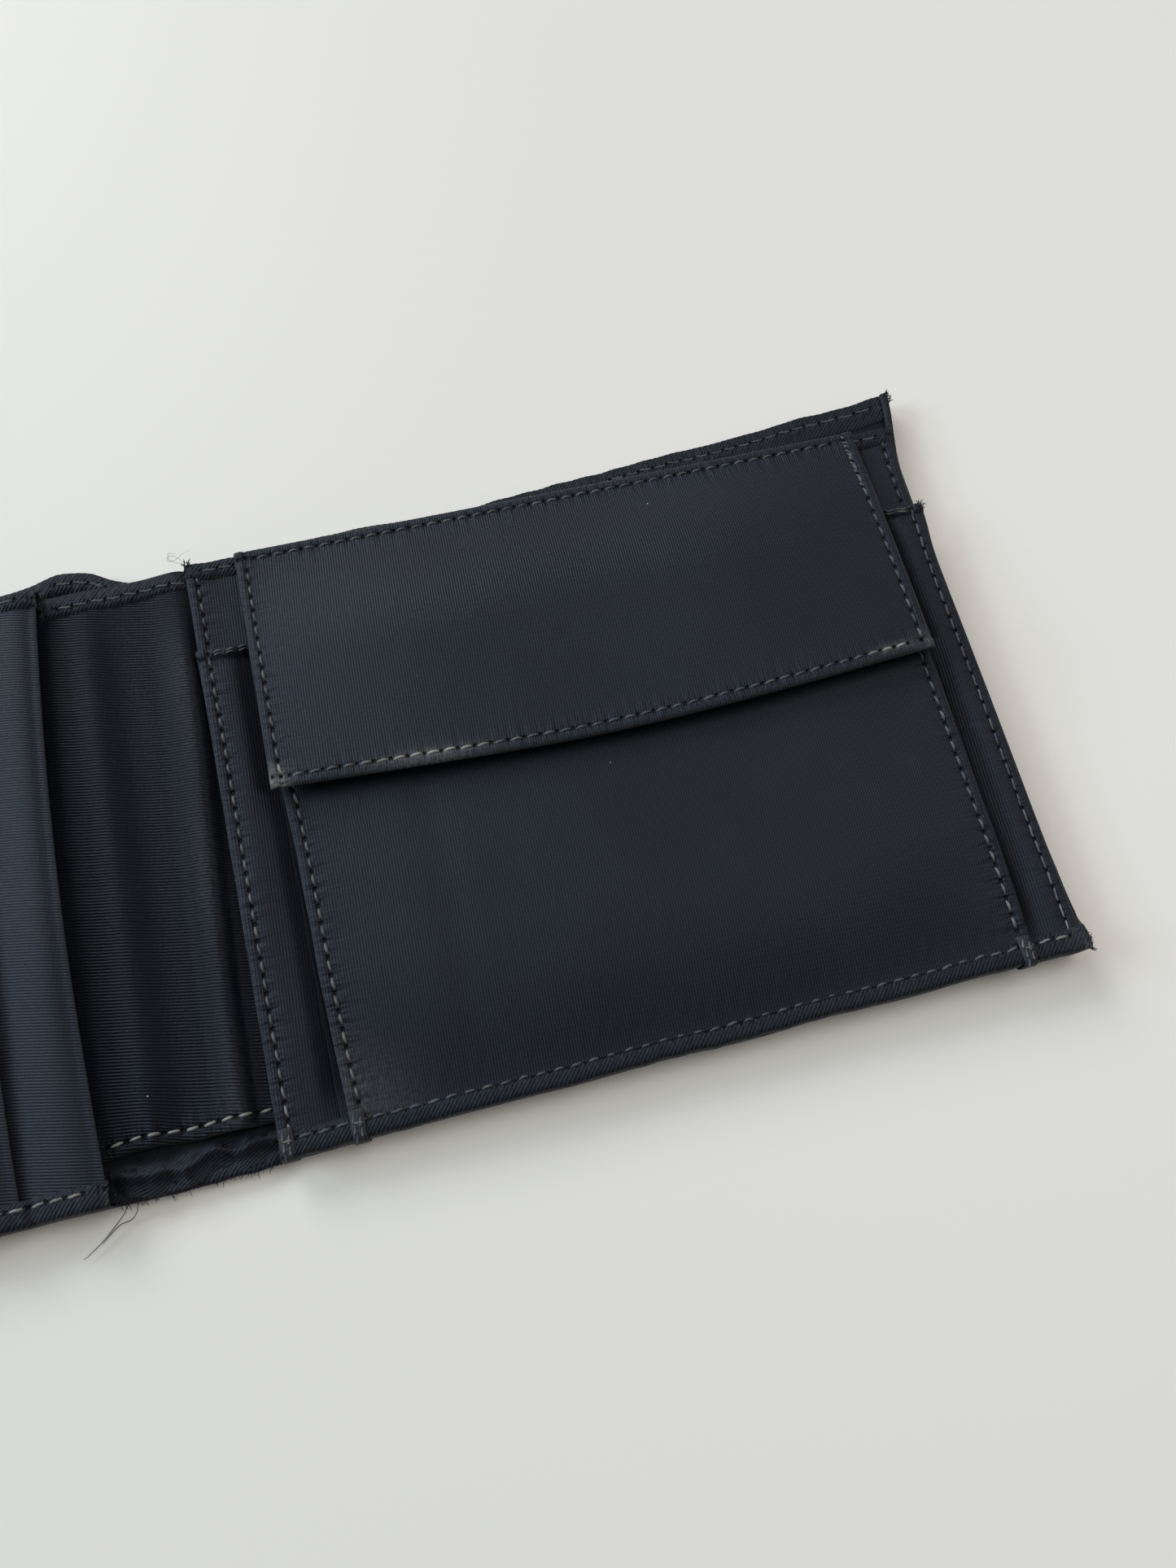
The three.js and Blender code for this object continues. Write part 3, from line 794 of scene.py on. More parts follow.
def panel_strips(name, body, wall_face, bottom_face, pale=0.0):
    """The strips on a panel's shell top, inner wall top and bottom edges, with their stitches.

    pale is the wear of the bottom row of stitches.
    """
    coin = name == "coin"
    follow = riding(body)
    ends = span(f"{name}_inner_top_edging")[0]
    shell_ends = span(f"{name}_shell_top_edging")[0]
    shell, wall = f"{name}_outer_shell", f"{name}_wall"
    rubbed = lambda x, s: pale + 0.5 * bump(x, COIN_END - 6, 8)
    shell_sewn, wall_sewn, bottom_sewn = 2.1, 1.6, 2.7
    top = strip(f"{name}_shell_hem", f"{name}_shell_top_edging", shell, follow, 1, shell_top_edge,
                SHELL_FOOT, constant(LINING_FACE + 0.5), shell_ends, 4.6 if coin else 3.0, shell_sewn)
    middle = strip(f"{name}_wall_hem", f"{name}_inner_top_edging", wall, follow, 1, constant(WALL_TOP),
                   span("coin_inner_wall")[2][0], wall_face, ends, 2.5, wall_sewn)
    low = strip(f"{name}_bottom_binding", f"{name}_bottom_edging", wall, follow, -1, shell_bottom_edge,
                SHELL_FOOT, bottom_face, ends, 3.1, bottom_sewn, coin_wear if coin else constant(0))
    for which, cloth_name, surface, (start, end), sewn, wear in (
        ("shell_hem", shell, top, shell_ends, shell_sewn, constant(0)),
        ("wall_hem", wall, middle, ends, wall_sewn, constant(0)),
        ("bottom", wall, low, ends, bottom_sewn, rubbed),
    ):
        row = ((start + 0.8, sewn), (end - 0.6, sewn))
        sew(cloth_name, f"{name}_{which}_stitches", surface, [row], follow, wear)


def coin_wear(x, away):
    """Rubbed pale near the coin end."""
    return 0.16 * bump(x - COIN_END, 0, 4) + 0 * away


def build_coin_panel():
    body = "coin_panel"
    follow = riding(body)
    inside, outside = panel_base("coin", body)
    left, right = span("coin_pocket_front")[0]
    over_pocket = lambda x: smooth((x - left + 1) / 1.5) * smooth((right + 1 - x) / 1.5)
    wall_face = lambda x: WALL_FACE + 0.45 + 0.5 * (1 - smooth((x - STRIP_LEFT) / 7))
    panel_strips("coin", body, wall_face, lambda x: 4.8 + 0.1 * over_pocket(x))
    wall_ends = span("coin_inner_wall")[0]
    gusset_top = span("coin_gusset_base_left")[1][1]
    rows = [((x, WALL_TOP - 0.6), (x, gusset_top)) for x in (wall_ends[0] + HEM, wall_ends[1] - HEM)]
    sew("coin_wall", "coin_wall_stitches", inside, rows, follow)
    inset = 2.6
    start, end = span("coin_shell")[0][0] + 2, COIN_END - inset
    low, high = BOTTOM + inset, SHELL_TOP - inset
    rows = [((start, low), (end, low)), ((end, low), (end, high)), ((end, high), (start, high))]
    sew("coin_outer_shell", "coin_shell_stitches", outside, rows, follow, under=SHELL_CLOTH)
    faces = [(BOTTOM + 3.4, 5.1), (BOTTOM + 4.6, 2.75), (WALL_TOP, 2.6)]
    end_binding("coin", body, 1, COIN_END, 1.0, faces)
    build_frayed_corners(follow)


def build_frayed_corners(follow):
    """Fibres that stand out of the cut corners, and a curled thread at the strip's top left corner."""
    right = drape(COIN_END, 0)
    paths = []
    for start, outward, length, count, spread in (
        ((COIN_END + 0.3, BOTTOM + 1.2, 2.6 + right), (0.8, -0.2, 0.1), 0.8, 90, (0.15, 1.4)),
        ((COIN_END + 2.5, SHELL_TOP + 3.0, 1.8 + right), (0.7, 0.2, 0.1), 0.7, 60, (0.3, 1.1)),
        ((COIN_END - 0.3, WALL_TOP - 17.0, 4.2 + right), (0.6, 0.3, 0.2), 0.7, 30, (0.4, 0.7)),
        ((COIN_END - 0.2, WALL_TOP - 0.8, 3.4 + right), (0.5, 0.4, 0.2), 0.6, 20, (0.4, 0.6)),
        ((STRIP_LEFT + 0.5, WALL_TOP - 0.2, 4.0), (-0.2, 0.6, 0.2), 0.8, 24, (0.6, 0.3)),
    ):
        paths += frayed(start, outward, length, count, spread)
    sew_on("coin_wall", fibres("coin_frayed_corners", paths, 0.07, FLUFF), follow)
    curl = [(0.4, -0.2, 4.3), (-0.6, 1.0, 4.8), (-1.7, 1.4, 5.0), (-2.1, 0.6, 5.0), (-0.9, 0.3, 5.2),
            (0.5, 1.2, 5.2), (1.6, 1.9, 4.8)]
    loop = [(-0.2, 0, 4.3), (-1.6, 0.4, 5.2), (-1.7, 1.6, 5.4), (-0.6, 1.5, 5.0)]
    paths = [offset(STRIP_LEFT, WALL_TOP, path) for path in (curl, loop)]
    sew_on("coin_wall", fibres("coin_curled_thread", paths, 0.035, SEWING, 0.9), follow)


def end_binding(name, body, side, end, width, faces):
    """The strip turned over a panel's free end. faces lists (y, height), lowest in the middle."""
    follow, shell = riding(body), f"{name}_outer_shell"
    places, heights = np.array(faces, float).T
    tall = heights[len(heights) // 2] - SHELL_FOOT
    profile, length = section(
        [(0.4, 0.0), (0.05, 0.2 * tall), (-0.05, 0.5 * tall), (0.08, 0.85 * tall), (0.5, tall),
         (0.5 + width * 0.5, tall + 0.05), (0.5 + width, tall - 0.25)]
    )

    def surface(s, y):
        inward, up = profile(s)
        growth = (np.interp(y, places, heights) - SHELL_FOOT) / tall
        lean = 0.3 * (growth - 1) * up
        x = end - side * (inward + lean + 0.12 * uneven(y, 0, 7, 21))
        lumps = 0.1 * uneven(y, s, 5, 23) + 0.05 * np.sin(2 * np.pi * (y + s) / 0.9)
        height = SHELL_FOOT + up * growth + lumps * smooth(up / tall)
        return x + jut(x, y), y + pull(x, y), height + drape(x, y)

    ys, ss = lines(BOTTOM + 0.1, SHELL_TOP - 0.1, 0.55), lines(0, length, 0.35, 0.6, 0.15)
    turned = (lambda s, y: surface(length - s, y)) if side > 0 else surface
    rubbed = lambda s, y: 0.15 * bump(y, BOTTOM, 5)
    piece = cloth(f"{name}_end_binding", turned, ss, ys, TAPE, EDGING, rubbed)
    sew_on(shell, piece, follow)
    stand_for(piece, "edging_tape", f"{name}_end_edging")
    if width > 2:
        low, high = span(f"{name}_end_edging")[1]
        sewn = lambda d, y: surface(length - (width + 0.5 - d) + 0 * y, y)
        rows = [((width - 0.1, low + 0.5), (width - 0.1, high - 0.5))]
        sew(shell, f"{name}_end_stitches", sewn, rows, follow)


# ---------- Coin pocket ----------
def pocket_height(x, y):
    """Upper face of the pocket front: a little crowned, lower along its sides and at the bottom seam."""
    (left, right), (low, high), (_, top) = span("coin_pocket_front")
    across = np.minimum(x - left, right - x)
    rise = smooth((y - low + 3) / 24) ** 0.75
    edge = 4.6 + 2.0 * rise * (1 - smooth((y - low - 46) / 30))
    crown = (top - 0.15 - edge) * crowned(across, 42) * rise
    slack = 0.16 * uneven(x, y * 0.45, 26, 31) - 0.35 * bump(x, left + 21, 3.0) * smooth((high - y) / 20)
    return edge + crown + slack * rise * smooth(across / 5)


def build_coin_pocket():
    (left, right), (low, high), _ = span("coin_pocket_front")
    follow = riding("coin_pocket")
    start = low - 1.0
    box = ((left, right), (start, high))

    def front(x, y):
        share = (x - left) / (right - left)
        narrowed = (0.6 + 1.4 * smooth((high - y) / 50)) * (1 - share) - 0.3 * share
        bow = 0.2 * uneven(y, 0, 44, 33) * (1 - smooth(np.minimum(x - left, right - x) / 10))
        scallop = 0.16 * stitch_wave(x) * bump(y, low + 2.6, 1.0)
        return x + narrowed + bow, y, pocket_height(x, y) + hems(x, y, box, "lrt") + drape(x, y) - scallop

    def wear(x, y):
        return 0.2 * bump(np.hypot(x - left, y - low), 3, 7)

    def painted_shadow_under_flap(x, y):
        """Painted shadow under the flap: the cloth is darkened from just below the flap's edge upwards."""
        bow = 3.0 * arch((x - left) / (right - left))
        return 0.55 * smooth((y - FLAP_LOW + bow + 3.6) / 2.4)

    def backing(x, y):
        return x, y, pocket_height(x, y) - 1.05 + drape(x, y)

    lay("pocket_front", front, box, ([0.9], [0.65]), CLOTH, NYLON, follow, ["coin_pocket_front"],
        rests_on=["pocket_lining"], wear=wear, seams=hem_seams(box, "lrt"), hollow=painted_shadow_under_flap)
    sides = [((x, high - 1), (x, start + 0.5)) for x in (left + HEM, right - HEM)]
    worn = lambda x, y: 0.14 + 0.25 * bump(y, low, 16)
    sew("pocket_front", "pocket_side_stitches", front, sides, follow, worn)
    mouth = [((left + HEM, high - HEM), (right - HEM, high - HEM))]
    sew("pocket_front", "pocket_mouth_stitches", front, mouth, follow)
    inset = 2.4
    foot = low + 1.7  # clear of the bottom strip when the pocket gapes
    box_behind = ((left + inset, right - inset), (foot, high - 0.6))
    lay("pocket_lining", backing, box_behind, ([3], [3]), THIN, LINING, follow, ["coin_pocket_lining"],
        "lining_cloth", flat=(right - left - 2 * inset, high - foot))
    build_gusset("left", 1)
    build_hem_end("pocket_hem_left", left + HEM + 1.4, 5.3)
    build_gusset("right", -1)
    build_hem_end("pocket_hem_right", right - HEM + 0.2, 5.3)
    build_hem_end("strip_hem", STRIP_LEFT + 1.2, 5.0)


def build_hem_end(name, x, face):
    """The end of a side hem: it runs on over the bottom edge, with a few stitches across it."""
    follow = riding("coin_panel")
    half = 1.1
    profile, length = section(
        [(4.4, face), (2.4, face + 0.2), (0.6, face + 0.1), (-0.2, face - 0.6), (-0.3, 2.6), (0.4, 1.4)]
    )

    def over_edge(t, along):
        """t runs across the hem. along runs from the face, over the bottom edge, towards the back."""
        y, z = profile(along)
        return x + t, BOTTOM - 0.2 + y, z + drape(x + t, BOTTOM + y) - 0.35 * (t / half) ** 2

    ts, ss = lines(-half, half, 0.3, 0.6, 0.2), lines(0, length - 0.4, 0.4)
    piece = cloth(f"{name}_end", lambda t, s: over_edge(-t, s), ts, ss, CLOTH, NYLON, constant(0.12))
    sew_on("coin_wall", piece, follow)
    rows = [((-0.45, 0.5), (-0.45, 5.4)), ((0.4, 1.0), (0.4, 5.4)), ((-0.6, 2.0), (0.9, 1.8))]
    sew("coin_wall", f"{name}_tack", over_edge, rows, follow, constant(0.2), pitch=1.5, radius=0.19)


def build_gusset(name, side):
    """A pleated strip: sewn to the panel's edge, it runs in under the front and folds back up to it."""
    (panel_left, panel_right), (low, high), _ = span(f"coin_gusset_base_{name}")
    front_left, front_right = span("coin_pocket_front")[0]
    is_left = side > 0
    outer = panel_left if is_left else panel_right
    reach = abs((front_left if is_left else front_right) - outer)
    start, full = (0.75, 0.3) if is_left else (0.0, 0.75)  # how high it starts, and how much it bulges
    profile, length = section(
        [(0.0, 3.7 + start), (HEM, 3.76 + start * 0.8), (4.0, 3.95 + start * 0.3), (reach - 1.0, 3.62),
         (reach + 3.2, 3.62), (reach + 5.4, 4.1), (reach + 3.4, 4.7), (reach + 1.0, 5.05)]
    )
    leaf = reach + 4.0

    def surface(s, y):
        inward, up = profile(s)
        free = smooth((y - low) / 14)
        upper = smooth((s - leaf) / 4)
        mouth = smooth((y - high + 2.0) / 0.9)
        bulge = full * bump(s, 3.6, 2.4) * smooth((high - y) / 6) * (0.6 + 0.4 * free)
        puffs = 0.22 * uneven(s * 2.2, y, 20, 41) * smooth(s / 3)
        ridges = 0 if is_left else 0.05 * np.sin(2 * np.pi * (s - 0.8 * y) / 1.1) * bump(s, 4.2, 2.6)
        up = up - upper * (1 - free) * 0.7 + (0.35 * mouth + bulge + puffs + ridges) * (1 - upper)
        spread = 0.9 * side * bump(y, high - 1, 6) * (1 - smooth(s / 4)) * (0.2 if is_left else 1)
        x = outer - spread + side * inward
        return x, y, up + hem(s, y) + hem(high - y, x, 0.6) * (1 - upper) + drape(x, y)

    def inside(s, y):
        """Painted shade: the cloth is darkened where it runs in under the pocket front, and more so under
        the flap.
        """
        inward = s if is_left else length - s
        dark_from = reach - 2.3 - 1.4 * smooth((y - FLAP_LOW) / 2)
        return smooth((inward - dark_from) / 1.8) * smooth((y - low) / 9)

    gusset, panel = f"gusset_{name}", riding("coin_panel")
    turned = surface if is_left else lambda s, y: surface(length - s, y)
    follow = bending()
    seams = [("u", HEM if is_left else length - HEM), ("v", high - 1.3)]
    nodes = [f"coin_gusset_base_{name}", f"coin_pocket_gusset_{name}"]
    lay(gusset, turned, ((0, length), (low, high)), ([0.5], [0.65]), LIGHT_CLOTH, NYLON, follow, nodes,
        held="folded", rests_on=["coin_wall"], seams=seams, hollow=inside)
    rows = [((HEM, high - 0.2), (HEM, low + 0.4))]
    sew(gusset, f"{gusset}_stitches", surface, rows, panel, lambda s, y: 0.15 + 0.5 * bump(y, low, 9))
    bar = [((HEM + 0.5, high - d), (reach + 1, high - d + 0.6)) for d in (0.7, 1.2)]
    sew(gusset, f"{gusset}_bar", surface, bar, panel, constant(0.12), pitch=1.9, radius=0.17)


# ---------- Flap ----------
def build_flap():
    (left, right), (low, _), (_, face) = span("flap_outer")
    high = WALL_TOP - 0.1
    seam_height = 4.5
    box = ((left, right), (low, high))
    to_left, to_right, to_low, to_high = left + HEM, right - HEM, low + HEM, high - HEM

    def outline(x, y):
        """The flap is a little narrower than its cut, and its bottom edge bows."""
        share = (x - left) / (right - left)
        bow = (0.8 + 1.1 * share + 3.0 * arch(share)) * (1 - smooth((y - low) / 34))
        narrowed = 1.1 * (1 - share) - (0.5 + 1.9 * (high - y) / (high - low)) * share
        return x + narrowed, y - bow

    def height(x, y):
        across = np.minimum(x - left, right - x)
        climb = np.clip((high - y) / (high - low), 0, 1)
        edge = seam_height + 4.9 * climb**0.8
        crown = (face - 0.2 - edge) * crowned(across, 40) * smooth(climb / 0.55)
        slack = 0.14 * uneven(x, y * 0.6, 30, 51) * smooth(across / 6) * smooth(climb / 0.3)
        return edge + crown + slack

    def surface(x, y):
        ribs = 0.06 * np.sin(2 * np.pi * (x - 0.9 * y) / RIB) * bump(high - y, 0.8, 0.9)
        across, along = outline(x, y)
        return across, along, height(x, y) + hems(x, y, box, "lrbt") + ribs + drape(across, along)

    def wear(x, y):
        """Rubbed at both lower corners and along the stitches beside them."""
        total = 0.95 * bump(np.hypot(x - left - 0.5, y - low - 1), 0, 2.4)
        total = total + 0.35 * bump(np.hypot(x - right, y - low), 0, 3)
        for place, width, away, reach, amount in (
            (left + 25, 8, 0, 2.2, 0.3), (left + 25, 7, HEM, 0.6, 0.5), (right - 7, 3.5, HEM, 0.7, 0.5)
        ):
            total = total + amount * bump(x, place, width) * bump(y, low + away, reach)
        return total

    def backing(x, y):
        across, along = outline(x, y)
        return across, along, height(x, y) - 0.62 + drape(across, along)

    follow = bending()
    lay("flap", surface, box, ([0.65], [0.65]), CLOTH, NYLON, follow, ["flap_outer"],
        rests_on=["pocket_front"], wear=wear, seams=hem_seams(box, "lrbt"))
    rows = [((to_left, to_high), (to_left, to_low)), ((to_left, to_low), (to_right, to_low)),
            ((to_right, to_low), (to_right, to_high)), ((to_left, to_high), (to_right, to_high))]
    sew("flap", "flap_stitches", surface, rows, follow, lambda x, y: wear(x, y) * 2.0 + 0.06)
    backtack = [((x, to_high + 1.2), (x, to_high - 11)) for x in (to_right - 0.25, to_right + 0.15)]
    sew("flap", "flap_backtack", surface, backtack, follow, constant(0.25), pitch=0.95, radius=0.15)
    inset = 1.2
    box_behind = ((left + inset, right - inset), (low + inset, FLAP_HINGE_Y - 0.6))
    lay("flap_facing", backing, box_behind, ([3], [2]), THIN, LINING, follow, ["flap_lining"],
        "lining_cloth")


# ---------- Press stud ----------
def turned_piece(name, outline, base, body, node_name):
    """A turned metal piece: an outline of (radius, height) points, with its foot at base."""
    sides, rings = 48, len(outline)
    points = [
        (r * np.cos(a) + base[0], r * np.sin(a) + base[1], h + base[2])
        for r, h in outline
        for a in np.linspace(0, 2 * np.pi, sides, endpoint=False)
    ]
    faces = []
    for ring in range(rings):
        for s in range(sides):
            here, above = ring * sides, (ring + 1) % rings * sides
            beside = (s + 1) % sides
            faces.append([here + s, here + beside, above + beside, above + s])
    piece = mesh_object(name, points, faces, GUNMETAL)
    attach(piece, body)
    stand_for(piece, "snap_metal", node_name)


def rounded(outline):
    """A closed outline with its corners cut twice by Chaikin's rule."""
    p = np.array(outline, float)
    for _ in range(2):
        after = np.roll(p, -1, axis=0)
        p = np.stack([0.75 * p + 0.25 * after, 0.25 * p + 0.75 * after], 1).reshape(-1, 2)
    return p


def build_snap():
    (x0, x1), (y0, y1), _ = span("snap_stud")
    x, y = (x0 + x1) / 2, (y0 + y1) / 2
    disc = (x1 - x0) / 2
    bore = 0.02
    for name, body, foot, outline in (
        ("stud", "coin_pocket", span("snap_stud")[2][0],
         [(bore, 0), (disc - 0.3, 0), (disc, 0.16), (disc - 0.4, 0.36), (2.6, 0.3), (1.65, 0.42),
          (1.9, 0.9), (1.6, 1.12), (bore, 1.15)]),
        ("stud_rivet", "coin_pocket", span("snap_stud_rivet")[2][0],
         [(bore, 0), (disc - 0.3, 0.02), (disc, 0.14), (disc - 0.3, 0.26), (bore, 0.3)]),
        ("socket", "coin_flap", span("snap_socket")[2][0],
         [(2.2, 0.05), (2.5, 0), (3.3, 0), (3.6, 0.2), (4.2, 0.35), (disc, 0.5), (disc, 0.66), (4.0, 0.7),
          (2.3, 0.7), (2.15, 0.4)]),
        ("socket_cap", "coin_flap", span("snap_socket_cap")[2][1] - 0.34,
         [(bore, 0), (disc - 0.2, 0.02), (disc, 0.12), (disc - 0.4, 0.26), (bore, 0.32)]),
    ):
        turned_piece(name, rounded(outline), (x, y, foot + drape(x, y)), body, f"snap_{name}")


# ---------- Folds ----------
# Height of the wide fold's lining at distances from the coin pocket's strip, across the fold.
FOLD_WAVE = through(
    [(-27, 2.8), (-23, 2.6), (-20.5, 2.6), (-17, 3.15), (-12.8, 2.35), (-9, 2.5), (-6.6, 2.8),
     (-4.6, 3.6), (-3.0, 4.2), (-1.8, 4.4), (-0.9, 4.0), (-0.2, 3.0), (0.6, 2.7)]
)


def along_wave(x, y):
    """Place on FOLD_WAVE. The ridge beside the coin panel drifts away from it towards the bottom."""
    u = x - STRIP_LEFT
    v = (y - BOTTOM) / (WALL_TOP - BOTTOM)
    return u + 2.2 * smooth((0.85 - v) / 0.7) * bump(u, -3.6, 5)


def coin_fold_height(x, y):
    """The lining's soft waves, flatter towards the top hem."""
    flatter = 0.65 * smooth((y - WALL_TOP + 18) / 15)
    wave = FOLD_WAVE(along_wave(x, y)) * (1 - flatter) + 2.9 * flatter
    return wave + 0.14 * uneven(x * 1.3, y * 0.5, 16, 61) * smooth((STRIP_LEFT + 0.6 - x) / 3)


def coin_fold_wear_and_highlight(x, y):
    """The ridge is rubbed a little, and lightened further as a painted highlight where light catches it.
    """
    patches = 0.7 + 0.3 * uneven(x, y, 14, 68)
    return 0.11 * bump(along_wave(x, y), -3.2, 2.3) * patches * smooth((WALL_TOP - 6 - y) / 12)


def left_fold_height(x, y):
    return 3.0 + 1.2 * arch((x - LEFT_FAR) / (LEFT_NEAR - LEFT_FAR)) + 0.15 * uneven(x, y, 16, 62)


def fold_layers(name, halves, height, wear=constant(0), behind_slot=0):
    """All layers of a fold, in two halves that meet in the middle of the fold.

    behind_slot is how far the near half's inner lining runs on under the card slots.
    """
    (left, _), (low, top), _ = span(f"{name}_inner_lining")

    def lining(x, y):
        sag = 0.5 * uneven(x, y * 0.2, 9, 63) * bump(y, low, 4)
        y_shift = (0.3 * uneven(x, 0, 12, 64) - 0.8 * smooth((x - left) / 22)) * bump(y, low, 8)
        return x, y + y_shift, height(x, y) + sag + hem(y - low, x, 1.3)

    for half, ends, follow, cut in halves:
        build_fold_shell(name, half, ends, follow, cut)
        inner = f"{name}_inner_{half}"
        start, end = ends[0] - (behind_slot if half == "near" else 0), ends[1]
        lay(inner, lining, ((start, end), (low, top)), ([0.45], [0.6]), CLOTH, SHADED_FOLD_NYLON, follow,
            [f"{name}_inner_lining"], held="gathered", wear=wear, cut=cut, seams=[("v", low + HEM)])
        rows = [((ends[0] - 1.5, low + HEM), (last_stitch(end, cut), low + HEM))]
        sew(inner, f"{name}_notch_stitches_{half}", lining, rows, follow, constant(0.7))
        fold_strips(name, half, ends, follow, cut, height)


def last_stitch(end, cut):
    """Where a row of stitches ends: on a whole stitch where the other half of the fold takes over."""
    return math.ceil(end / STITCH) * STITCH if cut[1] else end


def build_fold_shell(name, half, ends, follow, cut):
    """The shell and its lining, which is crumpled where it shows below the fold's inner lining, with
    painted shadow under that lining's hem.
    """
    shell, lining = span(f"{name}_shell")[1], span(f"{name}_shell_lining")[1]
    notch = span(f"{name}_inner_lining")[1][0]

    def crumpled(x, y):
        loose = smooth((notch + 3 - y) / 5)
        crease = 0.3 + 0.5 * uneven(x * 1.5, y, 8, 65) + 0.2 * uneven(x, y, 4, 66)
        roll = 0.75 * bump(y, notch - 2.7 + 0.8 * uneven(x, 0, 9, 69), 0.9)
        aside = pull(x, y) + 0.5 * loose * uneven(x, 0, 6, 67)
        return x, y + aside, LINING_FACE + loose * (crease + roll - 0.1)

    lay(f"{name}_shell_{half}", outer_layer(SHELL_FACE), (ends, shell), ([0.55], [1.6]), SHELL_CLOTH,
        SHELL_NYLON, follow, [f"{name}_shell"], held="folded", cut=cut)
    # painted shadow: the lining is darkened just below the fold's inner lining hem
    painted_shadow_under_hem = lambda x, y: 0.8 * smooth((y - notch + 1.9) / 1.6)
    lay(f"{name}_note_lining_{half}", crumpled, (ends, lining), ([0.4], [1.2]), THIN, SHELL_NYLON, follow,
        [f"{name}_shell_lining"], "lining_cloth", "folded", cut=cut, hollow=painted_shadow_under_hem,
        extra_rows=np.arange(lining[0] + 0.4, notch + 4, 0.4))


def fold_strips(name, half, ends, follow, cut, height):
    """The turned edges of one half of a fold: the shell's top and bottom, and the lining's top."""
    shell, inner = f"{name}_shell_{half}", f"{name}_inner_{half}"
    row = lambda sewn: [((ends[0] + 0.3, sewn), (last_stitch(ends[1], cut), sewn))]
    shell_sewn, inner_sewn = 2.0, 2.2
    edge = strip(f"{name}_shell_hem_{half}", f"{name}_shell_top_edging", shell, follow, 1, shell_top_edge,
                 SHELL_FOOT, constant(LINING_FACE + 0.55), ends, 3.0, shell_sewn, cut=cut)
    sew(shell, f"{name}_shell_hem_stitches_{half}", edge, row(shell_sewn), follow)
    strip(f"{name}_shell_foot_{half}", f"{name}_shell_bottom_edging", shell, follow, -1,
          shell_bottom_edge, SHELL_FOOT, constant(LINING_FACE + 0.3), ends, 1.4, 0.9, cut=cut, holes=False)
    crest = lambda x: height(x, WALL_TOP - 1.5) + 0.4
    edge = strip(f"{name}_inner_hem_{half}", f"{name}_inner_top_edging", inner, follow, 1,
                 constant(WALL_TOP - 0.9), 2.1, crest, ends, 3.0, inner_sewn, cut=cut)
    sew(inner, f"{name}_inner_hem_stitches_{half}", edge, row(inner_sewn), follow)
    frays = []
    for x in np.arange(ends[0] + 0.8, ends[1] - 0.3, 0.55):
        frays += frayed((x, shell_bottom_edge(x) + 0.3, 1.3), (0.15, -0.8, 0.0), 0.8, 3, (0.4, 0.2))
    sew_on(shell, fibres(f"{name}_frayed_edge_{half}", frays, 0.05, FLUFF), follow)


def build_coin_fold():
    middle = (COIN_NEAR + COIN_FAR) / 2
    near = bending()
    far = bending()
    halves = [("near", (COIN_NEAR - 1.4, middle), near, (0, 1, 0, 0)),
              ("far", (middle, STRIP_LEFT + 0.7), far, (1, 0, 0, 0))]
    fold_layers("coin_fold", halves, coin_fold_height, coin_fold_wear_and_highlight, behind_slot=3.4)


def build_left_fold():
    """The narrow fold. Its bodies run leftwards from the centre panel."""
    middle = (LEFT_NEAR + LEFT_FAR) / 2
    near = bending()
    far = bending()
    halves = [("far", (LEFT_FAR - 1.4, middle), far, (0, 1, 0, 0)),
              ("near", (middle, LEFT_NEAR + 1.4), near, (1, 0, 0, 0))]
    fold_layers("left_fold", halves, left_fold_height)


def build_loose_threads():
    """A pair of thread ends that hang out of the shell's frayed edge at the first card slot."""
    first = [(0.9, 1.5, 1.9), (0.4, -0.5, 1.4), (-1.4, -2.2, 0.8), (-3.4, -3.8, 0.5), (-5.6, -5.2, 0.4),
             (-6.4, -5.5, 0.3)]
    second = [(2.0, 1.2, 1.9), (1.9, -0.8, 1.4), (0.8, -2.0, 0.8), (-0.9, -2.3, 0.6), (-2.6, -3.4, 0.5),
              (-3.6, -4.2, 0.4)]
    paths = [offset(STRIP_LEFT - 22.6, BOTTOM - 0.4, path) for path in (first, second)]
    piece = fibres("loose_threads", paths, 0.07, SEWING, 0.15)
    sew_on("centre_outer_shell", piece, riding("centre_panel"))


# ---------- Card slots, centre panel and left panel ----------
def slot_lift(inward, first, middle):
    """How far a slot lifts off the one behind it, at a distance in from its free edge."""
    gape = 2.5 if first else 1.5
    return gape * middle * (1 - smooth((inward - 1.5) / 13)) - 0.7 * (1 - smooth(inward / 3.4))


def build_slots(name, body, count):
    """Full-height card slots. Each one's free edge lifts a little off the slot behind it."""
    behind = f"{name}_wall"
    for k in range(1, count + 1):
        (left, right), (low, high), (_, face) = span(f"{name}_card_slot_{k}")

        def surface(x, y, right=right, low=low, high=high, face=face, first=k == 1):
            inward = right - x
            middle = arch((y - low) / (high - low))
            lift = slot_lift(inward, first, 0.72 + 0.28 * middle)
            bow = -1.5 * middle**0.8 * (1 - smooth(inward / 12))
            return x + bow, y, face + lift + 0.2 * bump(inward, 0.45, 0.5) + 0.1 * uneven(x, y, 26, 71)

        lay(f"{name}_slot_{k}", surface, ((left, right), (low, high)), ([1.3, 2.4], [1.2]), LIGHT_CLOTH,
            SLOT_NYLON, riding(body), [f"{name}_card_slot_{k}"], rests_on=[behind])
        behind = f"{name}_slot_{k}"


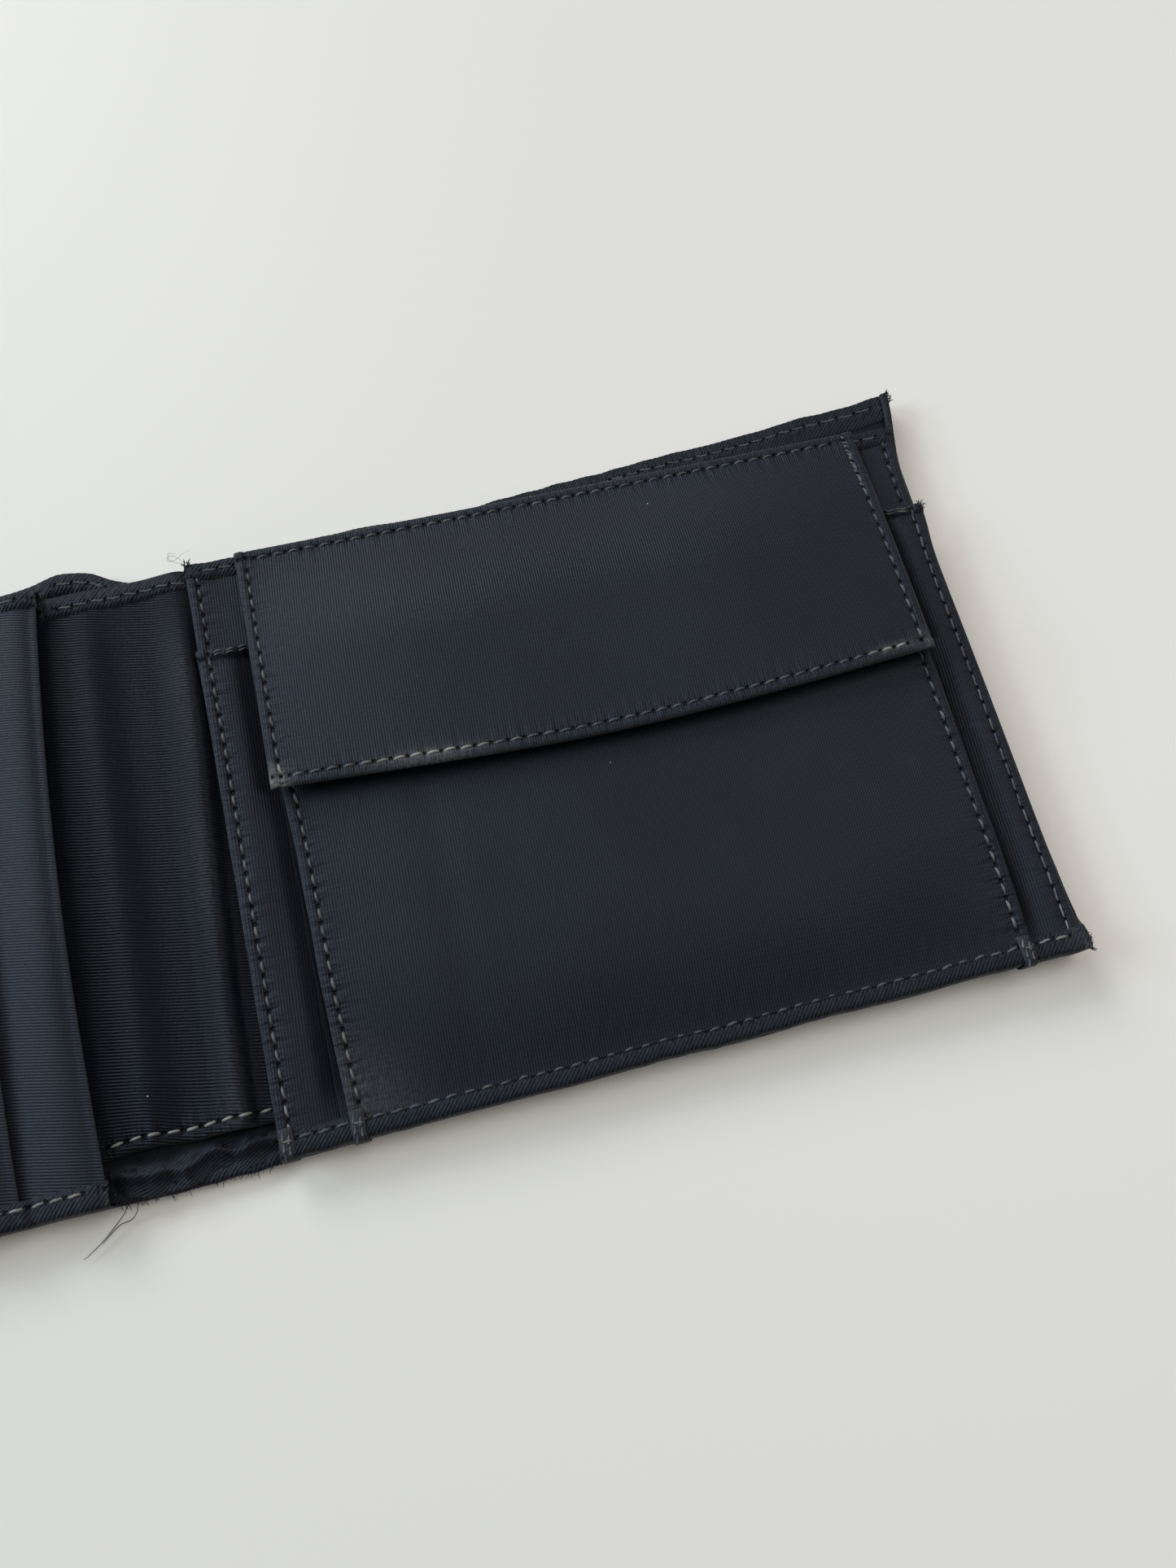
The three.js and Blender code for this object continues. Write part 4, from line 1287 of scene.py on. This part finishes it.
def slot_stack(name, count):
    """Upper face of the stack of card slots at an x, for the strips that are sewn over them."""
    slots = [span(f"{name}_card_slot_{k}") for k in range(1, count + 1)]

    def face(x):
        total = WALL_FACE + 0 * x
        for k, ((_, edge), _, (_, top)) in enumerate(slots):
            total = np.where(x <= edge + 0.3, top + slot_lift(edge - x, k == 0, 0.72), total)
        return total + 0.5

    return face


def build_centre_panel():
    panel_base("centre", "centre_panel", trim=(0.9, 5.2))
    build_slots("centre", "centre_panel", 4)
    stack = slot_stack("centre", 4)
    panel_strips("centre", "centre_panel", stack, stack, pale=0.5)


def build_left_panel():
    panel_base("left", "left_panel", trim=(0, 0.9))
    build_slots("left", "left_panel", 3)
    stack = slot_stack("left", 3)
    panel_strips("left", "left_panel", stack, stack)
    faces = [(BOTTOM + 3.4, 5.8), (BOTTOM + 4.6, 4.95), (0, 4.95), (WALL_TOP - 4.6, 4.95),
             (WALL_TOP - 3.4, 5.8), (WALL_TOP - 0.1, 5.8), (WALL_TOP + 0.5, 2.6)]
    end_binding("left", "left_panel", -1, LEFT_END, 2.2, faces)


# ---------- Stage, in metres ----------
def build_table():
    half = 3.0
    below = 0.0004  # clear of the cloth that lies on it
    surface = Shading("pale_table")
    surface.finish({"Base Color": (0.748, 0.753, 0.738), "Roughness": 0.55})
    mesh = bpy.data.meshes.new("table")
    corners = [(-half, -half, 0), (half, -half, 0), (half, half, 0), (-half, half, 0)]
    mesh.from_pydata(corners, [], [(0, 1, 2, 3)])
    mesh.materials.append(surface.material)
    table = link("table", mesh)
    table.location.z = -below


def build_lights():
    """Daylight from a window above the wallet and one on its left, and a warm ceiling."""
    world = bpy.data.worlds.new("studio")
    world.use_nodes = True
    background = world.node_tree.nodes["Background"]
    background.inputs["Color"].default_value = (1, 0.935, 0.87, 1)
    background.inputs["Strength"].default_value = 0.15
    bpy.context.scene.world = world
    aim = Vector((0.12, 0, 0))
    for name, place, size, power, colour in (
        ("window", (-1.05, 2.6, 1.6), (1.9, 1.3), 60.5, (0.985, 0.98, 1)),
        ("side_window", (-2.7, 1.0, 1.45), (1.8, 1.2), 69, (0.74, 0.9, 1)),
        ("ceiling", (1.15, 0.3, 2.1), (1.6, 1.6), 25.5, (1, 0.93, 0.84)),
    ):
        data = bpy.data.lights.new(name, "AREA")
        data.shape = "RECTANGLE"
        data.size, data.size_y = size
        data.energy = power
        data.color = colour
        light = link(name, data)
        light.location = place
        light.rotation_euler = (aim - Vector(place)).to_track_quat("-Z", "Y").to_euler()


def build_camera():
    """A phone held above the coin panel, leaning back from its bottom edge and rolled a little."""
    distance = 169.9
    heading, elevation, roll = math.radians(24.09), math.radians(72.43), math.radians(10.19)
    aim = Vector(((STRIP_LEFT + COIN_END) / 2 - 6.4, BOTTOM + 43.3, 4.0))
    flat = math.cos(elevation)
    look = Vector((math.sin(heading) * flat, math.cos(heading) * flat, -math.sin(elevation)))
    data = bpy.data.cameras.new("camera")
    data.sensor_fit = "VERTICAL"
    data.sensor_height = 36
    data.lens = 24.96
    data.clip_start = 0.01
    camera = link("camera", data)
    camera.matrix_world = (
        Matrix.Translation((aim - look * distance) * MM)
        @ look.to_track_quat("-Z", "Y").to_matrix().to_4x4()
        @ Matrix.Rotation(roll, 4, "Z")
    )
    bpy.context.scene.camera = camera


# ---------- Build ----------
build_coin_panel()
build_coin_pocket()
build_flap()
build_snap()
build_coin_fold()
build_left_fold()
build_loose_threads()
build_centre_panel()
build_left_panel()
build_table()
build_lights()
build_camera()
bpy.context.scene.view_settings.view_transform = "Standard"

declare_sheets()
